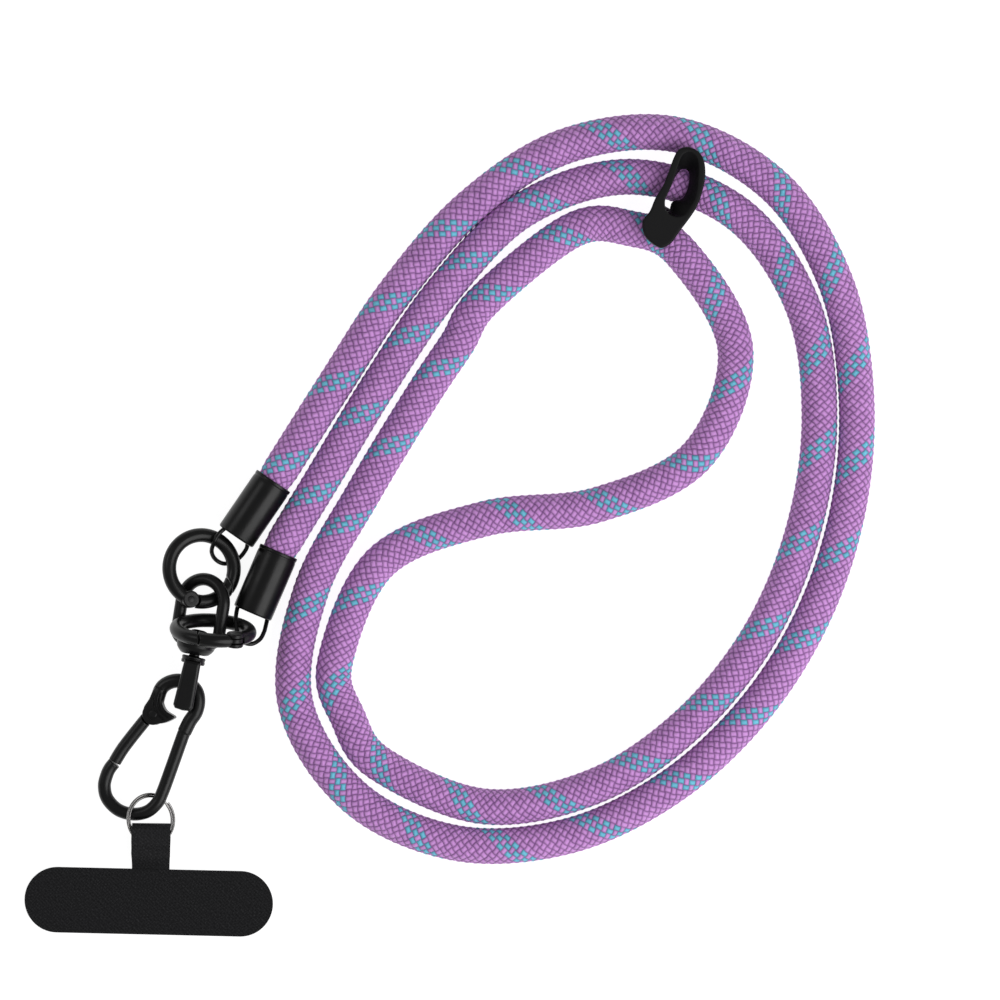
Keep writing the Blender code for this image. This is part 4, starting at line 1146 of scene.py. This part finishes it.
# %% [markdown]
# The keeper is moulded in matte black silicone. One end is a rounded saddle that hugs the
# inner strand, and the other is a long open loop that lies over the middle strand. It could
# be sculpted, but its outline is what shows, so the outline is drawn, given a thickness,
# cut by a funnel and melted into the saddle, which leaves the soft rims of a moulding.

# %% Rope keeper
KEEPER_MIDDLE = Vector((128.2, 167.6, 0)) * MM
KEEPER_LENGTH = 24 * MM
KEEPER_STRAND = Vector((0.87, -0.49, 0)).normalized()
KEEPER_BASE, KEEPER_THICKNESS, KEEPER_EDGE = 9.4 * MM, 4.4 * MM, 0.45 * MM
SADDLE_INNER, SADDLE_OUTER = 4.85 * MM, 6.15 * MM
SADDLE_LENGTH, SADDLE_EDGE, SADDLE_HEIGHT = 6 * MM, 0.3 * MM, 4.55 * MM
FUNNEL_EXTRA = 2 * MM
KEEPER_GRAIN = 0.16 * MM
# The second colour is a painted highlight on the raised rims, broken up by a noise cloud.
RUBBER, RUBBER_RIM_HIGHLIGHT = (0.0045, 0.0045, 0.005), (0.05, 0.049, 0.044)
RIM_FROM, RIM_GAIN = 0.53, 8
KEEPER_OUTLINE = [
    (-0.029, -0.170), (-0.159, -0.072), (-0.198, 0.039), (-0.189, 0.123), (-0.122, 0.207),
    (-0.062, 0.346), (0.017, 0.477), (0.073, 0.616), (0.124, 0.756), (0.171, 0.840),
    (0.231, 0.872), (0.306, 0.868), (0.380, 0.830), (0.431, 0.756), (0.453, 0.663),
    (0.453, 0.560), (0.436, 0.458), (0.399, 0.328), (0.352, 0.225), (0.287, 0.128),
    (0.213, 0.030), (0.152, -0.054), (0.110, -0.114), (0.045, -0.161),
]
# The window is a funnel: its upper rim, and the smaller hole where it comes out below
KEEPER_RIM = [
    (0.205, 0.775), (0.150, 0.616), (0.097, 0.467), (0.038, 0.340), (0.033, 0.262),
    (0.064, 0.190), (0.112, 0.158), (0.176, 0.145), (0.248, 0.170), (0.308, 0.253),
    (0.358, 0.356), (0.382, 0.505), (0.390, 0.644), (0.376, 0.752), (0.332, 0.812), (0.270, 0.826),
]
KEEPER_HOLE = [
    (0.196, 0.630), (0.145, 0.560), (0.098, 0.455), (0.047, 0.345), (0.038, 0.285),
    (0.047, 0.235), (0.068, 0.205), (0.086, 0.225), (0.094, 0.285), (0.130, 0.322),
    (0.190, 0.332), (0.238, 0.370), (0.272, 0.450), (0.288, 0.540), (0.284, 0.610), (0.244, 0.646),
]


def flat_ring(rows):
    ring = [Vector((x, y, 0)) * KEEPER_LENGTH for x, y in rows]
    return [(p.x, p.y) for p in smooth_line(ring, 6, closed=True)]


def build_keeper():
    thickness = KEEPER_THICKNESS
    place = Matrix.Translation(KEEPER_MIDDLE + UP * (KEEPER_BASE + thickness / 2))
    loop = slab("loop", [flat_ring(KEEPER_OUTLINE)], thickness, place, KEEPER_EDGE)
    rows = [(r * math.cos(math.radians(a)), r * math.sin(math.radians(a)))
            for r, turn in ((SADDLE_OUTER, range(-40, 101, 5)), (SADDLE_INNER, range(100, -41, -5)))
            for a in turn]
    side = Vector((-KEEPER_STRAND.y, KEEPER_STRAND.x, 0))
    saddle_place = axes_matrix(KEEPER_MIDDLE + UP * SADDLE_HEIGHT, side, KEEPER_STRAND)
    saddle = slab("saddle", [rows], SADDLE_LENGTH, saddle_place, SADDLE_EDGE)
    high, low = flat_ring(KEEPER_RIM), flat_ring(KEEPER_HOLE)
    drop = FUNNEL_EXTRA
    mesh = bpy.data.meshes.new("funnel")
    count = len(high)
    verts = []
    for level, share in ((-thickness / 2 - drop, -drop), (thickness / 2 + drop, thickness + drop)):
        t = share / thickness
        for (hx, hy), (lx, ly) in zip(high, low):
            verts.append((lx + (hx - lx) * t, ly + (hy - ly) * t, level))
    faces = [tuple(range(count)), tuple(range(2 * count - 1, count - 1, -1))]
    faces += [(k, (k + 1) % count, (k + 1) % count + count, k + count) for k in range(count)]
    mesh.from_pydata(verts, [], faces)
    funnel = bpy.data.objects.new("funnel", mesh)
    bpy.context.scene.collection.objects.link(funnel)
    funnel.matrix_world = place
    weld(apply_place(funnel))
    cut(loop, funnel)
    return cast("silicone_keeper", [loop, saddle], KEEPER_GRAIN)


def silicone_look():
    made, tree, shader = new_look("black_silicone_rubber", Roughness=0.55)
    shader.inputs["Specular IOR Level"].default_value = 0.16
    skin, rim_and_roughness_cloud = cloud(tree, 2600.0, 3.0), cloud(tree, 420.0, 4.0)
    # The raised rims are painted lighter: a painted highlight, broken up by a noise cloud that also
    # varies the roughness.
    painted_rim_highlight = sum_of(tree, "MULTIPLY", raised_edges(tree, RIM_FROM, RIM_GAIN, 1), rim_and_roughness_cloud)
    tree.links.new(mixed(tree, painted_rim_highlight, RUBBER, RUBBER_RIM_HIGHLIGHT), shader.inputs["Base Color"])
    rough = sum_of(tree, "MULTIPLY_ADD", rim_and_roughness_cloud, 0.2, 0.45)
    tree.links.new(rough, shader.inputs["Roughness"])
    bump(tree, shader, skin, 0.2, 0.04 * MM)
    return made


keeper = build_keeper()
settle(keeper, silicone_look(), "strap", "rope_keeper")
